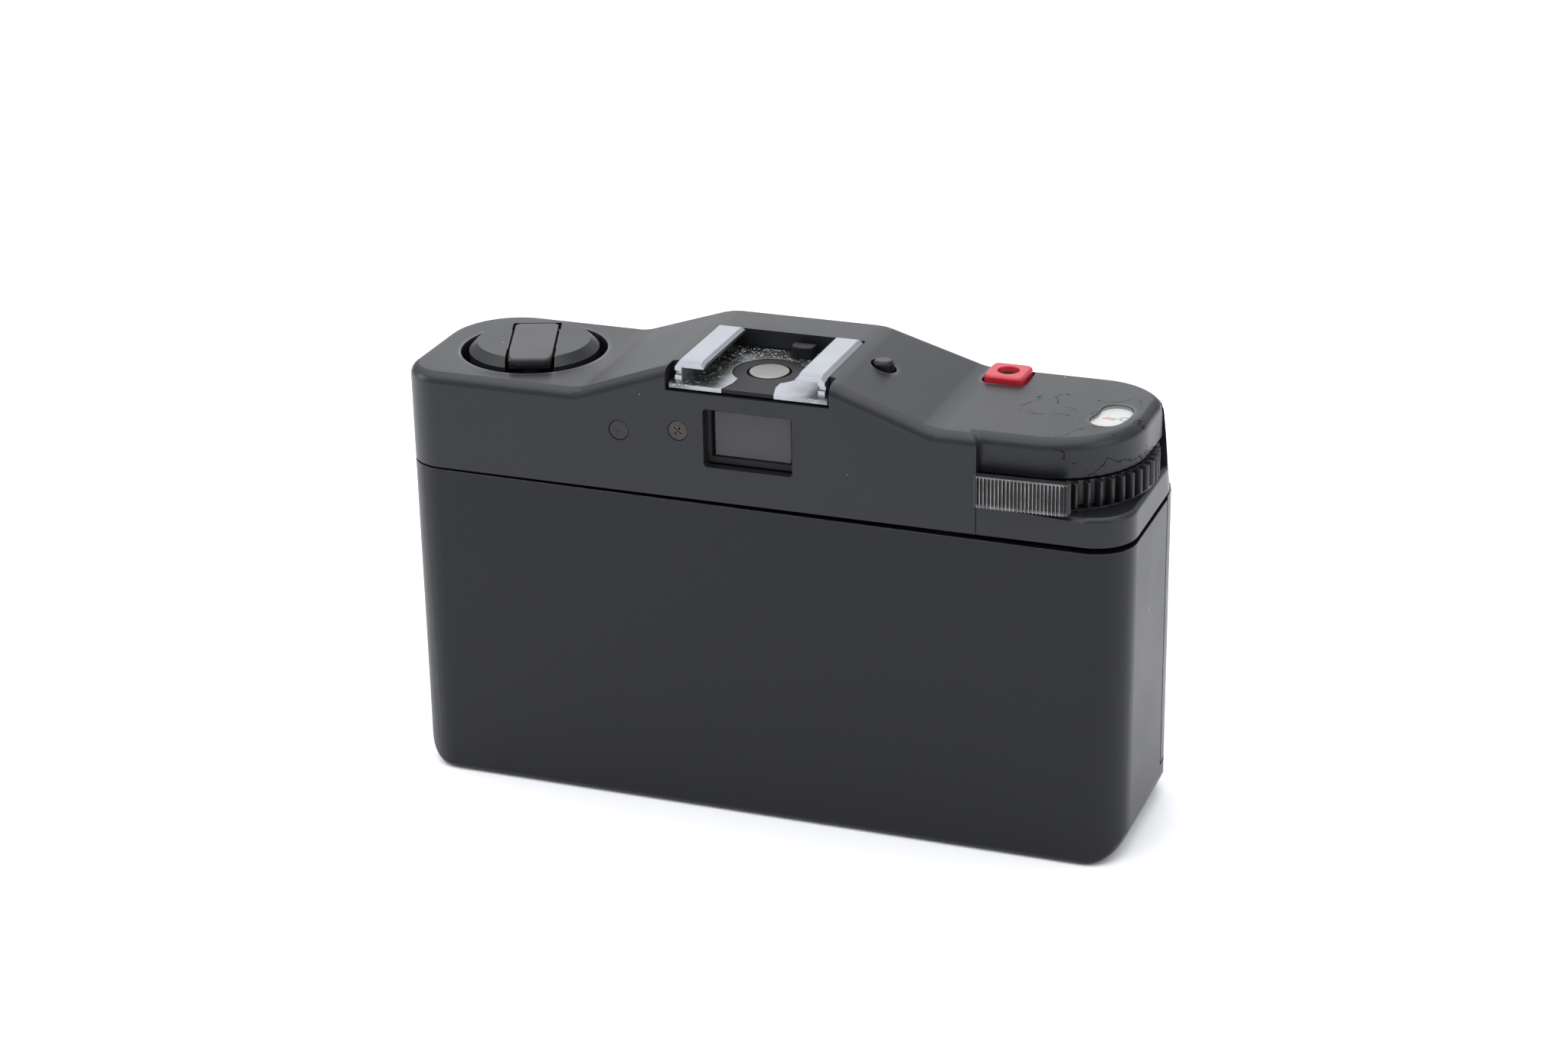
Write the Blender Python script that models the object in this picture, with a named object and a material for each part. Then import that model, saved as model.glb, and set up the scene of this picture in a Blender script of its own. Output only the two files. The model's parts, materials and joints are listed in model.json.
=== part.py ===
"""Compact folding film camera: body shells, film path, folding front, lens and controls.

Frame: origin at the centre of the base, +Z up, +Y to the rear (eyepiece side), +X towards
the rewind end.  Every size below is in millimetres; MM turns it into Blender's metres.
"""
import math

import bmesh
import bpy
from mathutils import Matrix, Vector

MM = 0.001

# ---- driving sizes, body -------------------------------------------------------------------
WIDTH = 100.0
DEPTH = 31.0
FILM_INSET = 5.6            # rear face to the film plane
SHOULDER_Z = 58.0           # flat top on both sides of the hump
HUMP_RISE = 4.8
HUMP_TOP_WIDTH = 21.6
HUMP_FOOT_WIDTH = 48.6
EYE_X = 0.3                 # common centre of hump, shoe and viewfinder
SEAM_Z = 44.8               # bottom of the top housing
SEAM_GAP = 0.4
WALL = 1.4
GAP = 0.3                   # between parts that seat on one another
RUN = 0.4                   # between parts that move past one another
REAR_CORNER = 5.6
FRONT_CORNER = 9.5
BASE_CORNER = 4.5
SIDE_SEAM_INSET = 10.4      # front face to the front edge of the back cover's sides
SKIRT_HEIGHT = 5.5          # height of the back cover's tray at the front
BASE_FLOOR = 2.0
SLANT = 0.322               # how far the upper front leans back per unit of height

# ---- driving sizes, film path --------------------------------------------------------------
CASSETTE_RADIUS = 12.6
CASSETTE_REAR_WALL = 0.8    # cover wall left behind the cassette
CHASSIS_Z = 2.6
FRAME_WIDTH = 36.0
FRAME_HEIGHT = 24.0
LENS_Z = 25.0
SPROCKET_REACH = 12.9       # most that the sprocket stands from the spool, along X
SPOOL_CLEARANCE = 1.54      # film wound between the spool's core and the sprocket
SPOOL_ROOM = 11.4
SPROCKET_RADIUS = 5.9
SPROCKET_TEETH = 8
GEAR_TEETH = 24
GEAR_TOOTH = 0.7
GEAR_WIDTH = 1.6

# ---- driving sizes, advance wheel and counter ----------------------------------------------
WHEEL_RADIUS = 13.3
WHEEL_OVERHANG = 0.3        # teeth past the side of the body
WHEEL_TEETH = 50
WHEEL_TOOTH = 1.25
WHEEL_DROP = 5.4            # shoulder down to the top of the teeth
WHEEL_THICKNESS = 3.3
DECK_DROP = 9.2             # shoulder down to the ledge below the wheel
HOOD_DROP = 5.0             # shoulder down to the hood's lower edge
HOOD_SETBACK = 1.1          # hood inside the tips of the teeth
HOOD_EDGE = 6.6             # wheel axis to the hood's straight end, along X
ROOF = 1.5                  # thickness of the top face over the mechanism
SHAFT_RADIUS = 3.0
PAD_LENGTH = 11.7
PAD_THICKNESS = 1.6
PAD_RIDGES = 24
PAD_DROP = 8.8              # shoulder down to the pad's lower edge
PAD_HEIGHT = 4.3
COUNTER_HALF_WIDTH = 2.15
COUNTER_INSET = 4.45        # hood's edge to the middle of the counter window
COUNTER_HALF_ANGLE = 14.0
COUNTER_DIRECTION = 173.0

# ---- driving sizes, rewind knob ------------------------------------------------------------
KNOB_RADIUS = 8.75
KNOB_CHAMFER = 1.0
KNOB_CLEARANCE = 1.15       # knob to the wall of its well
KNOB_RISE = 1.35            # flat top above the shoulder
KNOB_DEPTH = 3.4            # part of the knob inside its well
CRANK_ANGLE = 19.4          # lever's long axis from +Y towards -X
CRANK_WIDTH = 5.8
CRANK_THICKNESS = 1.0
CRANK_TAIL = 1.0            # lever beyond its pin
CRANK_END = 0.45            # finger end inside the knob's edge
CRANK_START = 2.85          # pin end inside the knob's edge
COLLAR_RADIUS = 3.9
FORK_RADIUS = 2.0

# ---- driving sizes, shoe, viewfinder, buttons ----------------------------------------------
SHOE_LENGTH = 16.2
SHOE_REAR_INSET = 0.4
SHOE_SHEET = 0.6
SHOE_SLOT = 18.6            # standard accessory foot
SHOE_EDGE = 1.8             # plate beyond the slot on each side
SHOE_FLOOR_DEPTH = 2.4      # shoe floor below the hump's top
SHOE_PROUD = 0.45           # rails above the hump's top
SHOE_MOUTH = 12.5
SHOE_RAIL_WALL = 0.95
SHOE_LIP = 0.85
INSULATOR_RADIUS = 4.5
CONTACT_RADIUS = 2.65
EYEPIECE_WIDTH = 12.2
EYEPIECE_HEIGHT = 7.4
EYEPIECE_DROP = 4.4         # shoulder down to the middle of the eyepiece
FINDER_WALL = 0.8
FINDER_PANE = (5.5, 3.0)    # half width and half height of the front window
CELL_PANE = 3.0             # radius of the light cell's window
PANE = 0.9
RELEASE_SIDE = 5.5
RELEASE_RISE = 0.9
RELEASE_SHIFT = 8.8         # wheel axis to the release, along Y
RELEASE_CLEARANCE = 2.459   # edge of the dial to the release's axis
CHECK_Y = 3.6
CHECK_RADIUS = 1.4
CHECK_OFFSET = 14.5         # eyepiece to the check button, along X
CHECK_DROP = 0.4            # hump's top down to the button's top
SCREW_RADIUS = 1.33
SCREW_OFFSETS = ((17.9, 4.8), (9.6, 3.9))   # beside the eyepiece and below the shoulder
CELL_WINDOW_OFFSET = 13.2   # viewfinder window to the light cell's window

# ---- driving sizes, folding front and lens -------------------------------------------------
FLAP_WIDTH = 50.0
FLAP_THICKNESS = 1.8
HINGE_Z = 3.7
KNUCKLE_RADIUS = 2.2
PIN_RADIUS = 0.9
EAR_WIDTH = 5.4
CAM_RADIUS = 12.0
CAM_SHEET = 1.0
SLEEVE_RADIUS = 17.0        # outer radius of the fixed light sleeve
SLEEVE_WALL = 0.75
BAY_DEPTH = 6.9             # film plane to the bay's rear wall
BAY_CLEARANCE = 0.7         # bay floor and ceiling to the fixed sleeve
BARREL_RADIUS = 8.6
BARREL_WALL = 1.6
FOCUS_RADIUS = 11.0
APERTURE_RADIUS = 12.8
RING_WIDTH = 1.5

# ---- driving sizes, base fittings and battery ----------------------------------------------
BUSH_X = 14.0
BUSH_Y = 1.0
BUSH_RADIUS = 4.5
BUSH_BORE = 3.2             # quarter-inch thread
KEY_X = -14.0
KEY_Y = 1.0
KEY_RADIUS = 4.5
CELL_RADIUS = 5.8
CELL_HEIGHT = 10.8
CELL_OFFSET = 16.2          # eyepiece to the battery, along X
CELL_Y = 0.0

# ---- places worked out from the sizes above ------------------------------------------------
SIDE_X = WIDTH / 2
REAR_Y = DEPTH / 2
FRONT_Y = -DEPTH / 2
SIDE_SEAM_Y = FRONT_Y + SIDE_SEAM_INSET
HUMP_Z = SHOULDER_Z + HUMP_RISE
SLANT_START_Z = SEAM_Z - 2.0
CASSETTE_TOP_Z = SHOULDER_Z - 6.0
REWIND_X = SIDE_X - WALL - GAP / 3 - CASSETTE_RADIUS
AXIS_Y = REAR_Y - CASSETTE_REAR_WALL - CASSETTE_RADIUS
FILM_Y = REAR_Y - FILM_INSET
BAY_BACK_Y = FILM_Y - BAY_DEPTH
SLEEVE_FRONT_Y = FRONT_Y + 6.5
LENS_FRONT_Y = FRONT_Y + 2.9
BAY_WIDTH = FLAP_WIDTH - 1.4
FLAP_TOP_Z = HUMP_Z - 2.6
WHEEL_X = -SIDE_X - WHEEL_OVERHANG + WHEEL_RADIUS
WHEEL_TOP_Z = SHOULDER_Z - WHEEL_DROP
WHEEL_BOTTOM_Z = WHEEL_TOP_Z - WHEEL_THICKNESS
DECK_Z = SHOULDER_Z - DECK_DROP
HOOD_BOTTOM_Z = SHOULDER_Z - HOOD_DROP
HOOD_RADIUS = WHEEL_RADIUS - HOOD_SETBACK
HOOD_EDGE_X = WHEEL_X + HOOD_EDGE
PAD_BOTTOM_Z = SHOULDER_Z - PAD_DROP
PAD_TOP_Z = PAD_BOTTOM_Z + PAD_HEIGHT
DIAL_RADIUS = HOOD_RADIUS - 2.0
COUNTER_MIDDLE_RADIUS = HOOD_RADIUS - COUNTER_INSET
SPROCKET_X = min(WHEEL_X + SPROCKET_REACH, -FRAME_WIDTH / 2 - SPROCKET_RADIUS - 0.2)
SPROCKET_Y = FILM_Y - SPROCKET_RADIUS
GEAR_DISTANCE = math.hypot(SPROCKET_X - WHEEL_X, SPROCKET_Y - AXIS_Y)
SPOOL_RADIUS = GEAR_DISTANCE - SPROCKET_RADIUS - SPOOL_CLEARANCE
HINGE_Y = FRONT_Y + KNUCKLE_RADIUS
CHASSIS_TOP_Z = SEAM_Z - GAP - 0.2
HOOD_ROOF_Z = SHOULDER_Z - ROOF
KNOB_TOP_Z = SHOULDER_Z + KNOB_RISE
KNOB_FACE_RADIUS = KNOB_RADIUS - KNOB_CHAMFER
KNOB_HOLE_RADIUS = KNOB_RADIUS + KNOB_CLEARANCE
CRANK_FAR = KNOB_RADIUS - CRANK_START
CRANK_NEAR = KNOB_RADIUS - CRANK_END
WELL_Z = SHOULDER_Z - KNOB_DEPTH - RUN
SHOE_WIDTH = SHOE_SLOT + 2 * SHOE_EDGE
SHOE_FLOOR_Z = HUMP_Z - SHOE_FLOOR_DEPTH
SHOE_TOP_Z = HUMP_Z + SHOE_PROUD
EYEPIECE_Z = SHOULDER_Z - EYEPIECE_DROP
RELEASE_Y = AXIS_Y - RELEASE_SHIFT
RELEASE_X = WHEEL_X + math.sqrt((DIAL_RADIUS + RELEASE_CLEARANCE) ** 2 - RELEASE_SHIFT ** 2)
CHECK_X = EYE_X - CHECK_OFFSET
CHECK_TOP_Z = HUMP_Z - CHECK_DROP
CELL_WINDOW_X = EYE_X + CELL_WINDOW_OFFSET
CELL_X = EYE_X + CELL_OFFSET
SCREW_PLACES = tuple((EYE_X + x, SHOULDER_Z - drop) for x, drop in SCREW_OFFSETS)
BAY_TOP_Z = LENS_Z + SLEEVE_RADIUS + BAY_CLEARANCE
DIAL_Z = HOOD_ROOF_Z - 1.6
SHAFT_TOP_Z = DIAL_Z - 0.35


def material(name, colour, roughness, metallic=0.0):
    """A Principled material for one piece."""
    made = bpy.data.materials.new(name)
    made.use_nodes = True
    shader = made.node_tree.nodes["Principled BSDF"]
    shader.inputs["Base Color"].default_value = (*colour, 1.0)
    shader.inputs["Roughness"].default_value = roughness
    shader.inputs["Metallic"].default_value = metallic
    made.diffuse_color = (*colour, 1.0)
    return made


FINISHES = {
    "black_shell": ((0.035, 0.037, 0.041), 0.42, 0.0),
    "black_inner": ((0.02, 0.02, 0.021), 0.7, 0.0),
    "black_metal": ((0.05, 0.05, 0.05), 0.35, 0.8),
    "bright_metal": ((0.75, 0.76, 0.78), 0.25, 1.0),
    "steel": ((0.55, 0.55, 0.56), 0.35, 1.0),
    "brass": ((0.7, 0.55, 0.3), 0.35, 1.0),
    "red": ((0.62, 0.02, 0.05), 0.4, 0.0),
    "glass": ((0.3, 0.32, 0.34), 0.05, 0.0),
    "white": ((0.8, 0.8, 0.78), 0.5, 0.0),
    "board": ((0.05, 0.2, 0.1), 0.6, 0.0),
}


# ---- modelling helpers ---------------------------------------------------------------------
def finish(name, mesh_tool, finish_name, smooth=True):
    """Turn a bmesh in millimetres into a named object in metres with outward faces."""
    bmesh.ops.remove_doubles(mesh_tool, verts=mesh_tool.verts, dist=1e-4)
    bmesh.ops.recalc_face_normals(mesh_tool, faces=mesh_tool.faces)
    bmesh.ops.scale(mesh_tool, verts=mesh_tool.verts, vec=(MM, MM, MM))
    mesh = bpy.data.meshes.new(name)
    mesh_tool.to_mesh(mesh)
    mesh_tool.free()
    if smooth:
        mesh.shade_smooth()
        mesh.set_sharp_from_angle(angle=math.radians(30))
    made = bpy.data.objects.new(name, mesh)
    bpy.context.collection.objects.link(made)
    if finish_name:
        made.data.materials.append(material(name, *FINISHES[finish_name]))
    return made


def prism(name, outline, low, high, finish_name=None, axis="Z"):
    """A closed outline extruded along an axis; the outline lies in the other two, in order."""
    orders = {"Z": lambda a, b, c: (a, b, c), "Y": lambda a, b, c: (a, c, b),
              "X": lambda a, b, c: (c, a, b)}
    order = orders[axis]
    mesh_tool = bmesh.new()
    bottom = [mesh_tool.verts.new(order(a, b, low)) for a, b in outline]
    top = [mesh_tool.verts.new(order(a, b, high)) for a, b in outline]
    mesh_tool.faces.new(bottom)
    mesh_tool.faces.new(top)
    for index in range(len(outline)):
        after = (index + 1) % len(outline)
        mesh_tool.faces.new((bottom[index], bottom[after], top[after], top[index]))
    return finish(name, mesh_tool, finish_name)


def turned(name, profile, centre, finish_name=None, axis="Z", steps=32):
    """A closed (radius, height) profile turned about an axis through centre."""
    mesh_tool = bmesh.new()
    rings = []
    for radius, height in profile:
        if radius == 0:
            rings.append([mesh_tool.verts.new((0, 0, height))] * steps)
            continue
        rings.append([mesh_tool.verts.new((radius * math.cos(math.tau * step / steps),
                                           radius * math.sin(math.tau * step / steps), height))
                      for step in range(steps)])
    for index, ring in enumerate(rings):
        other = rings[(index + 1) % len(rings)]
        for step in range(steps):
            after = (step + 1) % steps
            corners = []
            for vert in (ring[step], ring[after], other[after], other[step]):
                if vert not in corners:
                    corners.append(vert)
            if len(corners) > 2:
                mesh_tool.faces.new(corners)
    turn = {"Z": Matrix(), "Y": Matrix.Rotation(math.radians(90), 4, "X"),
            "X": Matrix.Rotation(math.radians(90), 4, "Y")}[axis]
    bmesh.ops.transform(mesh_tool, matrix=Matrix.Translation(centre) @ turn, verts=mesh_tool.verts)
    return finish(name, mesh_tool, finish_name)


def disc(name, radius, low, high, centre, finish_name=None, axis="Z", steps=32, bore=0.0):
    """A cylinder or, with a bore, a ring; low and high run along the axis in world units."""
    middle = Vector((centre[0], centre[1], 0)) if axis == "Z" else Vector(centre)
    if axis == "Y":
        middle = Vector((centre[0], 0, centre[1]))
        low, high = -high, -low
    if axis == "X":
        middle = Vector((0, centre[0], centre[1]))
    profile = [(bore, low), (radius, low), (radius, high), (bore, high)]
    return turned(name, profile, middle, finish_name, axis, steps)


def block(name, low, high, finish_name=None):
    """A box from its lowest to its highest corner."""
    outline = ((low[0], low[1]), (high[0], low[1]), (high[0], high[1]), (low[0], high[1]))
    return prism(name, outline, low[2], high[2], finish_name)


def carve(piece, cutter, operation="DIFFERENCE"):
    """Cut, join or trim a piece with a hidden cutter."""
    modifier = piece.modifiers.new(cutter.name, "BOOLEAN")
    modifier.operation = operation
    modifier.solver = "EXACT"
    modifier.object = cutter
    cutter.hide_render = True
    cutter.display_type = "WIRE"


def pivot(piece, point):
    """Move a piece's origin to a point of its joint's axis, leaving its shape in place."""
    target = Vector(point) * MM
    piece.data.transform(Matrix.Translation(-target))
    piece.location = target


def arc(centre, radius, start, end, steps):
    """Points on an arc, in degrees, both ends included."""
    return [(centre[0] + radius * math.cos(math.radians(start + (end - start) * step / steps)),
             centre[1] + radius * math.sin(math.radians(start + (end - start) * step / steps)))
            for step in range(steps + 1)]


def rounded(low, high, radii, steps=5):
    """A rectangle with its own radius at each corner, anticlockwise from the lower left."""
    corners = ((low[0], low[1], 180), (high[0], low[1], 270),
               (high[0], high[1], 0), (low[0], high[1], 90))
    points = []
    for (corner_x, corner_y, start), radius in zip(corners, radii):
        if radius <= 0:
            points.append((corner_x, corner_y))
            continue
        centre_x = corner_x + radius * (1 if corner_x == low[0] else -1)
        centre_y = corner_y + radius * (1 if corner_y == low[1] else -1)
        points += arc((centre_x, centre_y), radius, start, start + 90, steps)
    return points


def body_plan(inset):
    """The body's outline seen from above, moved inwards by an inset."""
    front = FRONT_CORNER - inset
    rear = REAR_CORNER - inset
    return rounded((-SIDE_X + inset, FRONT_Y + inset), (SIDE_X - inset, REAR_Y - inset),
                   (front, front, rear, rear), steps=8)


def slant_y(height, inset=0.0):
    """The front face at a height, moved inwards square to itself."""
    lean = max(0.0, height - SLANT_START_Z) * SLANT
    return FRONT_Y + lean + inset * math.hypot(1.0, SLANT)


def slant_cutter(name):
    """Everything in front of the leaning upper front."""
    outline = ((FRONT_Y - 9, SLANT_START_Z), (slant_y(SLANT_START_Z), SLANT_START_Z),
               (slant_y(HUMP_Z + 9), HUMP_Z + 9), (FRONT_Y - 9, HUMP_Z + 9))
    return prism(name, outline, -SIDE_X - 9, SIDE_X + 9, axis="X")


def toothed(name, radius, depth, teeth, low, high, centre, finish_name, tip=0.4, root=0.35):
    """A wheel with flat-topped teeth; tip and root are shares of one pitch."""
    points = []
    pitch = math.tau / teeth
    for tooth in range(teeth):
        start = tooth * pitch
        for share, reach in ((0.0, radius), (tip, radius), ((1 + tip - root) / 2, radius - depth),
                             ((1 + tip + root) / 2, radius - depth)):
            angle = start + share * pitch
            points.append((centre[0] + reach * math.cos(angle),
                           centre[1] + reach * math.sin(angle)))
    return prism(name, points, low, high, finish_name)


def flap_outline(margin):
    """The folding front seen from ahead: straight sides, then parallel to the hump."""
    half = FLAP_WIDTH / 2 + margin
    top_half = HUMP_TOP_WIDTH / 2 - 1.0 + margin * 0.5
    shoulder = SHOULDER_Z - 3.0 + margin * 0.5
    return [(-half, HINGE_Z - KNUCKLE_RADIUS - margin), (half, HINGE_Z - KNUCKLE_RADIUS - margin),
            (half, shoulder), (EYE_X + top_half, FLAP_TOP_Z + margin),
            (EYE_X - top_half, FLAP_TOP_Z + margin), (-half, shoulder)]


def counter_outline(margin):
    """The counter window: a slot bent round the dial's axis, with round ends."""
    centre = (WHEEL_X, AXIS_Y)
    wide = COUNTER_HALF_WIDTH - margin
    low = COUNTER_DIRECTION - COUNTER_HALF_ANGLE
    high = COUNTER_DIRECTION + COUNTER_HALF_ANGLE
    points = arc(centre, COUNTER_MIDDLE_RADIUS + wide, low, high, 6)
    for angle, start in ((high, high), (low, low + 180)):
        end = arc(centre, COUNTER_MIDDLE_RADIUS, angle, angle, 1)[0]
        points += arc(end, wide, start, start + 180, 6)[1:-1]
        if angle == high:
            points += arc(centre, COUNTER_MIDDLE_RADIUS - wide, high, low, 6)
    return points


# ---- shells --------------------------------------------------------------------------------
def make_top_cover():
    """The top housing with its hump, knob well, wheel recess, hood and openings."""
    cover = prism("top_cover", body_plan(0), SEAM_Z, HUMP_Z + 1, "black_shell")
    half_top = HUMP_TOP_WIDTH / 2
    half_foot = HUMP_FOOT_WIDTH / 2
    edge = SIDE_X + 9
    skyline = ((-edge, SEAM_Z - 5), (edge, SEAM_Z - 5), (edge, SHOULDER_Z), (half_foot, SHOULDER_Z),
               (EYE_X + half_top, HUMP_Z), (EYE_X - half_top, HUMP_Z), (-half_foot, SHOULDER_Z),
               (-edge, SHOULDER_Z))
    carve(cover, prism("trim_skyline", skyline, -DEPTH, DEPTH, axis="Y"), "INTERSECT")
    carve(cover, slant_cutter("cut_top_slant"))
    # recess of the accessory shoe, open at the rear
    shoe_half = SHOE_WIDTH / 2 + GAP
    shoe_front = REAR_Y - SHOE_REAR_INSET - SHOE_LENGTH - GAP
    carve(cover, block("cut_shoe", (EYE_X - shoe_half, shoe_front, SHOE_FLOOR_Z - SHOE_SHEET - GAP),
                       (EYE_X + shoe_half, REAR_Y + 9, HUMP_Z + 5)))
    # rewind side: room for the cassette's top, bore of the collar, knob well
    low = SEAM_Z - 5
    bore = COLLAR_RADIUS + GAP
    rewind = [(0, low), (CASSETTE_RADIUS, low), (CASSETTE_RADIUS, CASSETTE_TOP_Z),
              (bore, CASSETTE_TOP_Z), (bore, WELL_Z), (KNOB_HOLE_RADIUS, WELL_Z),
              (KNOB_HOLE_RADIUS, HUMP_Z), (0, HUMP_Z)]
    carve(cover, turned("cut_rewind", rewind, (REWIND_X, AXIS_Y, 0), steps=48))
    # rooms inside: middle, under the deck, under the hood
    middle_low = (WHEEL_X + WHEEL_RADIUS + 1.7, low)
    middle_high = (REWIND_X - CASSETTE_RADIUS + 0.6, SHOULDER_Z - ROOF)
    front = slant_y(SHOULDER_Z - ROOF, FLAP_THICKNESS + GAP + WALL * 0.8)
    carve(cover, block("cut_top_middle", (middle_low[0], front, low),
                       (middle_high[0], REAR_Y - WALL, middle_high[1])))
    finder_half = EYEPIECE_WIDTH / 2 + 2 * GAP
    finder_top = EYEPIECE_Z + EYEPIECE_HEIGHT / 2 + 2 * GAP
    carve(cover, block("cut_top_finder", (EYE_X - finder_half, slant_y(finder_top, 3.0), low),
                       (EYE_X + finder_half, REAR_Y - WALL, finder_top)))
    deck_room = prism("cut_top_deck", body_plan(WALL), low, DECK_Z - 0.9)
    carve(deck_room, block("trim_top_deck", (-SIDE_X, FRONT_Y + WALL + FLAP_THICKNESS, low - 1),
                           (middle_low[0] + 0.5, REAR_Y, DECK_Z)), "INTERSECT")
    carve(cover, deck_room)
    carve(cover, disc("cut_hood", HOOD_RADIUS - WALL, HOOD_BOTTOM_Z - 1, HOOD_ROOF_Z,
                      (WHEEL_X, AXIS_Y), steps=48))
    carve(cover, disc("cut_release_room", 4.0, HOOD_BOTTOM_Z - 1, HOOD_ROOF_Z,
                      (RELEASE_X, RELEASE_Y), steps=32))
    # recess of the advance wheel, open at the rear and at the side
    room = WHEEL_RADIUS + RUN
    start = 180 + math.degrees(math.asin((AXIS_Y - SIDE_SEAM_Y) / room))
    end = 360 + math.degrees(math.acos((HOOD_EDGE_X - WHEEL_X) / room))
    wheel_room = [(HOOD_EDGE_X, REAR_Y + 9), (-SIDE_X - 9, REAR_Y + 9), (-SIDE_X - 9, SIDE_SEAM_Y)]
    wheel_room += arc((WHEEL_X, AXIS_Y), room, start, end, 28)
    carve(cover, prism("cut_wheel_room", wheel_room, DECK_Z, HOOD_BOTTOM_Z))
    hood_side = WHEEL_X - HOOD_RADIUS
    around = [(HOOD_EDGE_X, AXIS_Y + HOOD_RADIUS)]
    around += arc((WHEEL_X, AXIS_Y), HOOD_RADIUS, 90, 180, 14)
    around += [(hood_side, SIDE_SEAM_Y), (-SIDE_X - 9, SIDE_SEAM_Y), (-SIDE_X - 9, REAR_Y + 9),
               (HOOD_EDGE_X, REAR_Y + 9)]
    carve(cover, prism("cut_hood_side", around, HOOD_BOTTOM_Z - 0.2, HUMP_Z + 5))
    carve(cover, disc("cut_deck_bore", SHAFT_RADIUS + RUN, low, HOOD_BOTTOM_Z,
                      (WHEEL_X, AXIS_Y), steps=32))
    # eyepiece, windows, buttons, counter, screws
    eye_half = EYEPIECE_WIDTH / 2
    carve(cover, prism("cut_eyepiece", rounded((EYE_X - eye_half, EYEPIECE_Z - EYEPIECE_HEIGHT / 2),
                                               (EYE_X + eye_half, EYEPIECE_Z + EYEPIECE_HEIGHT / 2),
                                               (0.6,) * 4, 3), REAR_Y - WALL - 1, REAR_Y + 5,
                       axis="Y"))
    flap_room = prism("cut_top_flap", flap_outline(GAP), FRONT_Y - 9, REAR_Y, axis="Y")
    carve(flap_room, flap_slab("trim_top_flap", -9.0, FLAP_THICKNESS + GAP), "INTERSECT")
    carve(cover, flap_room)
    pane_x, pane_z = FINDER_PANE
    carve(cover, block("cut_finder_front", (EYE_X - pane_x, FRONT_Y - 9, EYEPIECE_Z - pane_z),
                       (EYE_X + pane_x, 0, EYEPIECE_Z + pane_z)))
    carve(cover, disc("cut_cell_front", CELL_PANE, FRONT_Y - 9, 0, (CELL_WINDOW_X, EYEPIECE_Z - 1),
                      axis="Y", steps=32))
    side = RELEASE_SIDE / 2 + GAP
    carve(cover, prism("cut_release", rounded((RELEASE_X - side, RELEASE_Y - side),
                                              (RELEASE_X + side, RELEASE_Y + side),
                                              (1.1,) * 4, 3), HOOD_ROOF_Z - 2, HUMP_Z))
    carve(cover, disc("cut_check", CHECK_RADIUS + GAP, SHOULDER_Z - ROOF - 2, HUMP_Z + 2,
                      (CHECK_X, CHECK_Y), steps=24))
    carve(cover, prism("cut_counter", counter_outline(0), HOOD_ROOF_Z - 1, HUMP_Z))
    for number, place in enumerate(SCREW_PLACES):
        carve(cover, disc(f"cut_rear_screw_{number}", SCREW_RADIUS + GAP / 3, REAR_Y - WALL - 1,
                          REAR_Y + 1, place, axis="Y", steps=20))
    return cover


def flap_slab(name, outer_inset, inner_inset):
    """A slab that follows the upright and the leaning front, between two insets."""
    top = HUMP_Z + 9
    bend_shift = (math.hypot(1.0, SLANT) - 1.0) / SLANT
    outline = []
    for inset, heights in ((outer_inset, (-5, SLANT_START_Z, top)),
                           (inner_inset, (top, SLANT_START_Z, -5))):
        for height in heights:
            if height > SLANT_START_Z:
                outline.append((slant_y(height, inset), height))
            elif height == SLANT_START_Z:
                outline.append((FRONT_Y + inset, height - inset * bend_shift))
            else:
                outline.append((FRONT_Y + inset, height))
    return prism(name, outline, -SIDE_X, SIDE_X, axis="X")


def make_back_cover():
    """The one-piece back and base that slides off downwards to load film."""
    top = SEAM_Z - SEAM_GAP
    cover = prism("back_cover", body_plan(0), 0, top, "black_shell")
    elevation = rounded((-SIDE_X, 0), (SIDE_X, top), (BASE_CORNER, BASE_CORNER, 0, 0), 8)
    carve(cover, prism("trim_back_corners", elevation, -DEPTH, DEPTH, axis="Y"), "INTERSECT")
    carve(cover, prism("cut_back_inside", body_plan(WALL), BASE_FLOOR, top + 5))
    carve(cover, block("cut_back_front", (-SIDE_X - 5, FRONT_Y - 5, SKIRT_HEIGHT),
                       (SIDE_X + 5, SIDE_SEAM_Y, top + 5)))
    pocket = hinge_pocket(RUN)
    carve(cover, block("cut_back_hinge", (-pocket[0], FRONT_Y - 5, -5),
                       (pocket[0], pocket[1], pocket[2])))
    carve(cover, disc("cut_back_cassette", CASSETTE_RADIUS, BASE_FLOOR, top + 5,
                      (REWIND_X, AXIS_Y), steps=64))
    carve(cover, disc("cut_back_bush", BUSH_RADIUS + GAP / 3, -5, BASE_FLOOR + 5, (BUSH_X, BUSH_Y)))
    carve(cover, disc("cut_back_key", KEY_RADIUS + GAP, -5, BASE_FLOOR - 0.6, (KEY_X, KEY_Y)))
    carve(cover, disc("cut_back_key_shaft", 1.5 + GAP, -5, BASE_FLOOR + 5, (KEY_X, KEY_Y),
                      steps=24))
    return cover


def hinge_pocket(margin):
    """Half width, rear limit and top of the room that the flap's hinge takes."""
    half = FLAP_WIDTH / 2 + GAP + EAR_WIDTH + margin
    return half, HINGE_Y + KNUCKLE_RADIUS + 2.0 + margin, HINGE_Z + KNUCKLE_RADIUS + margin


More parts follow.
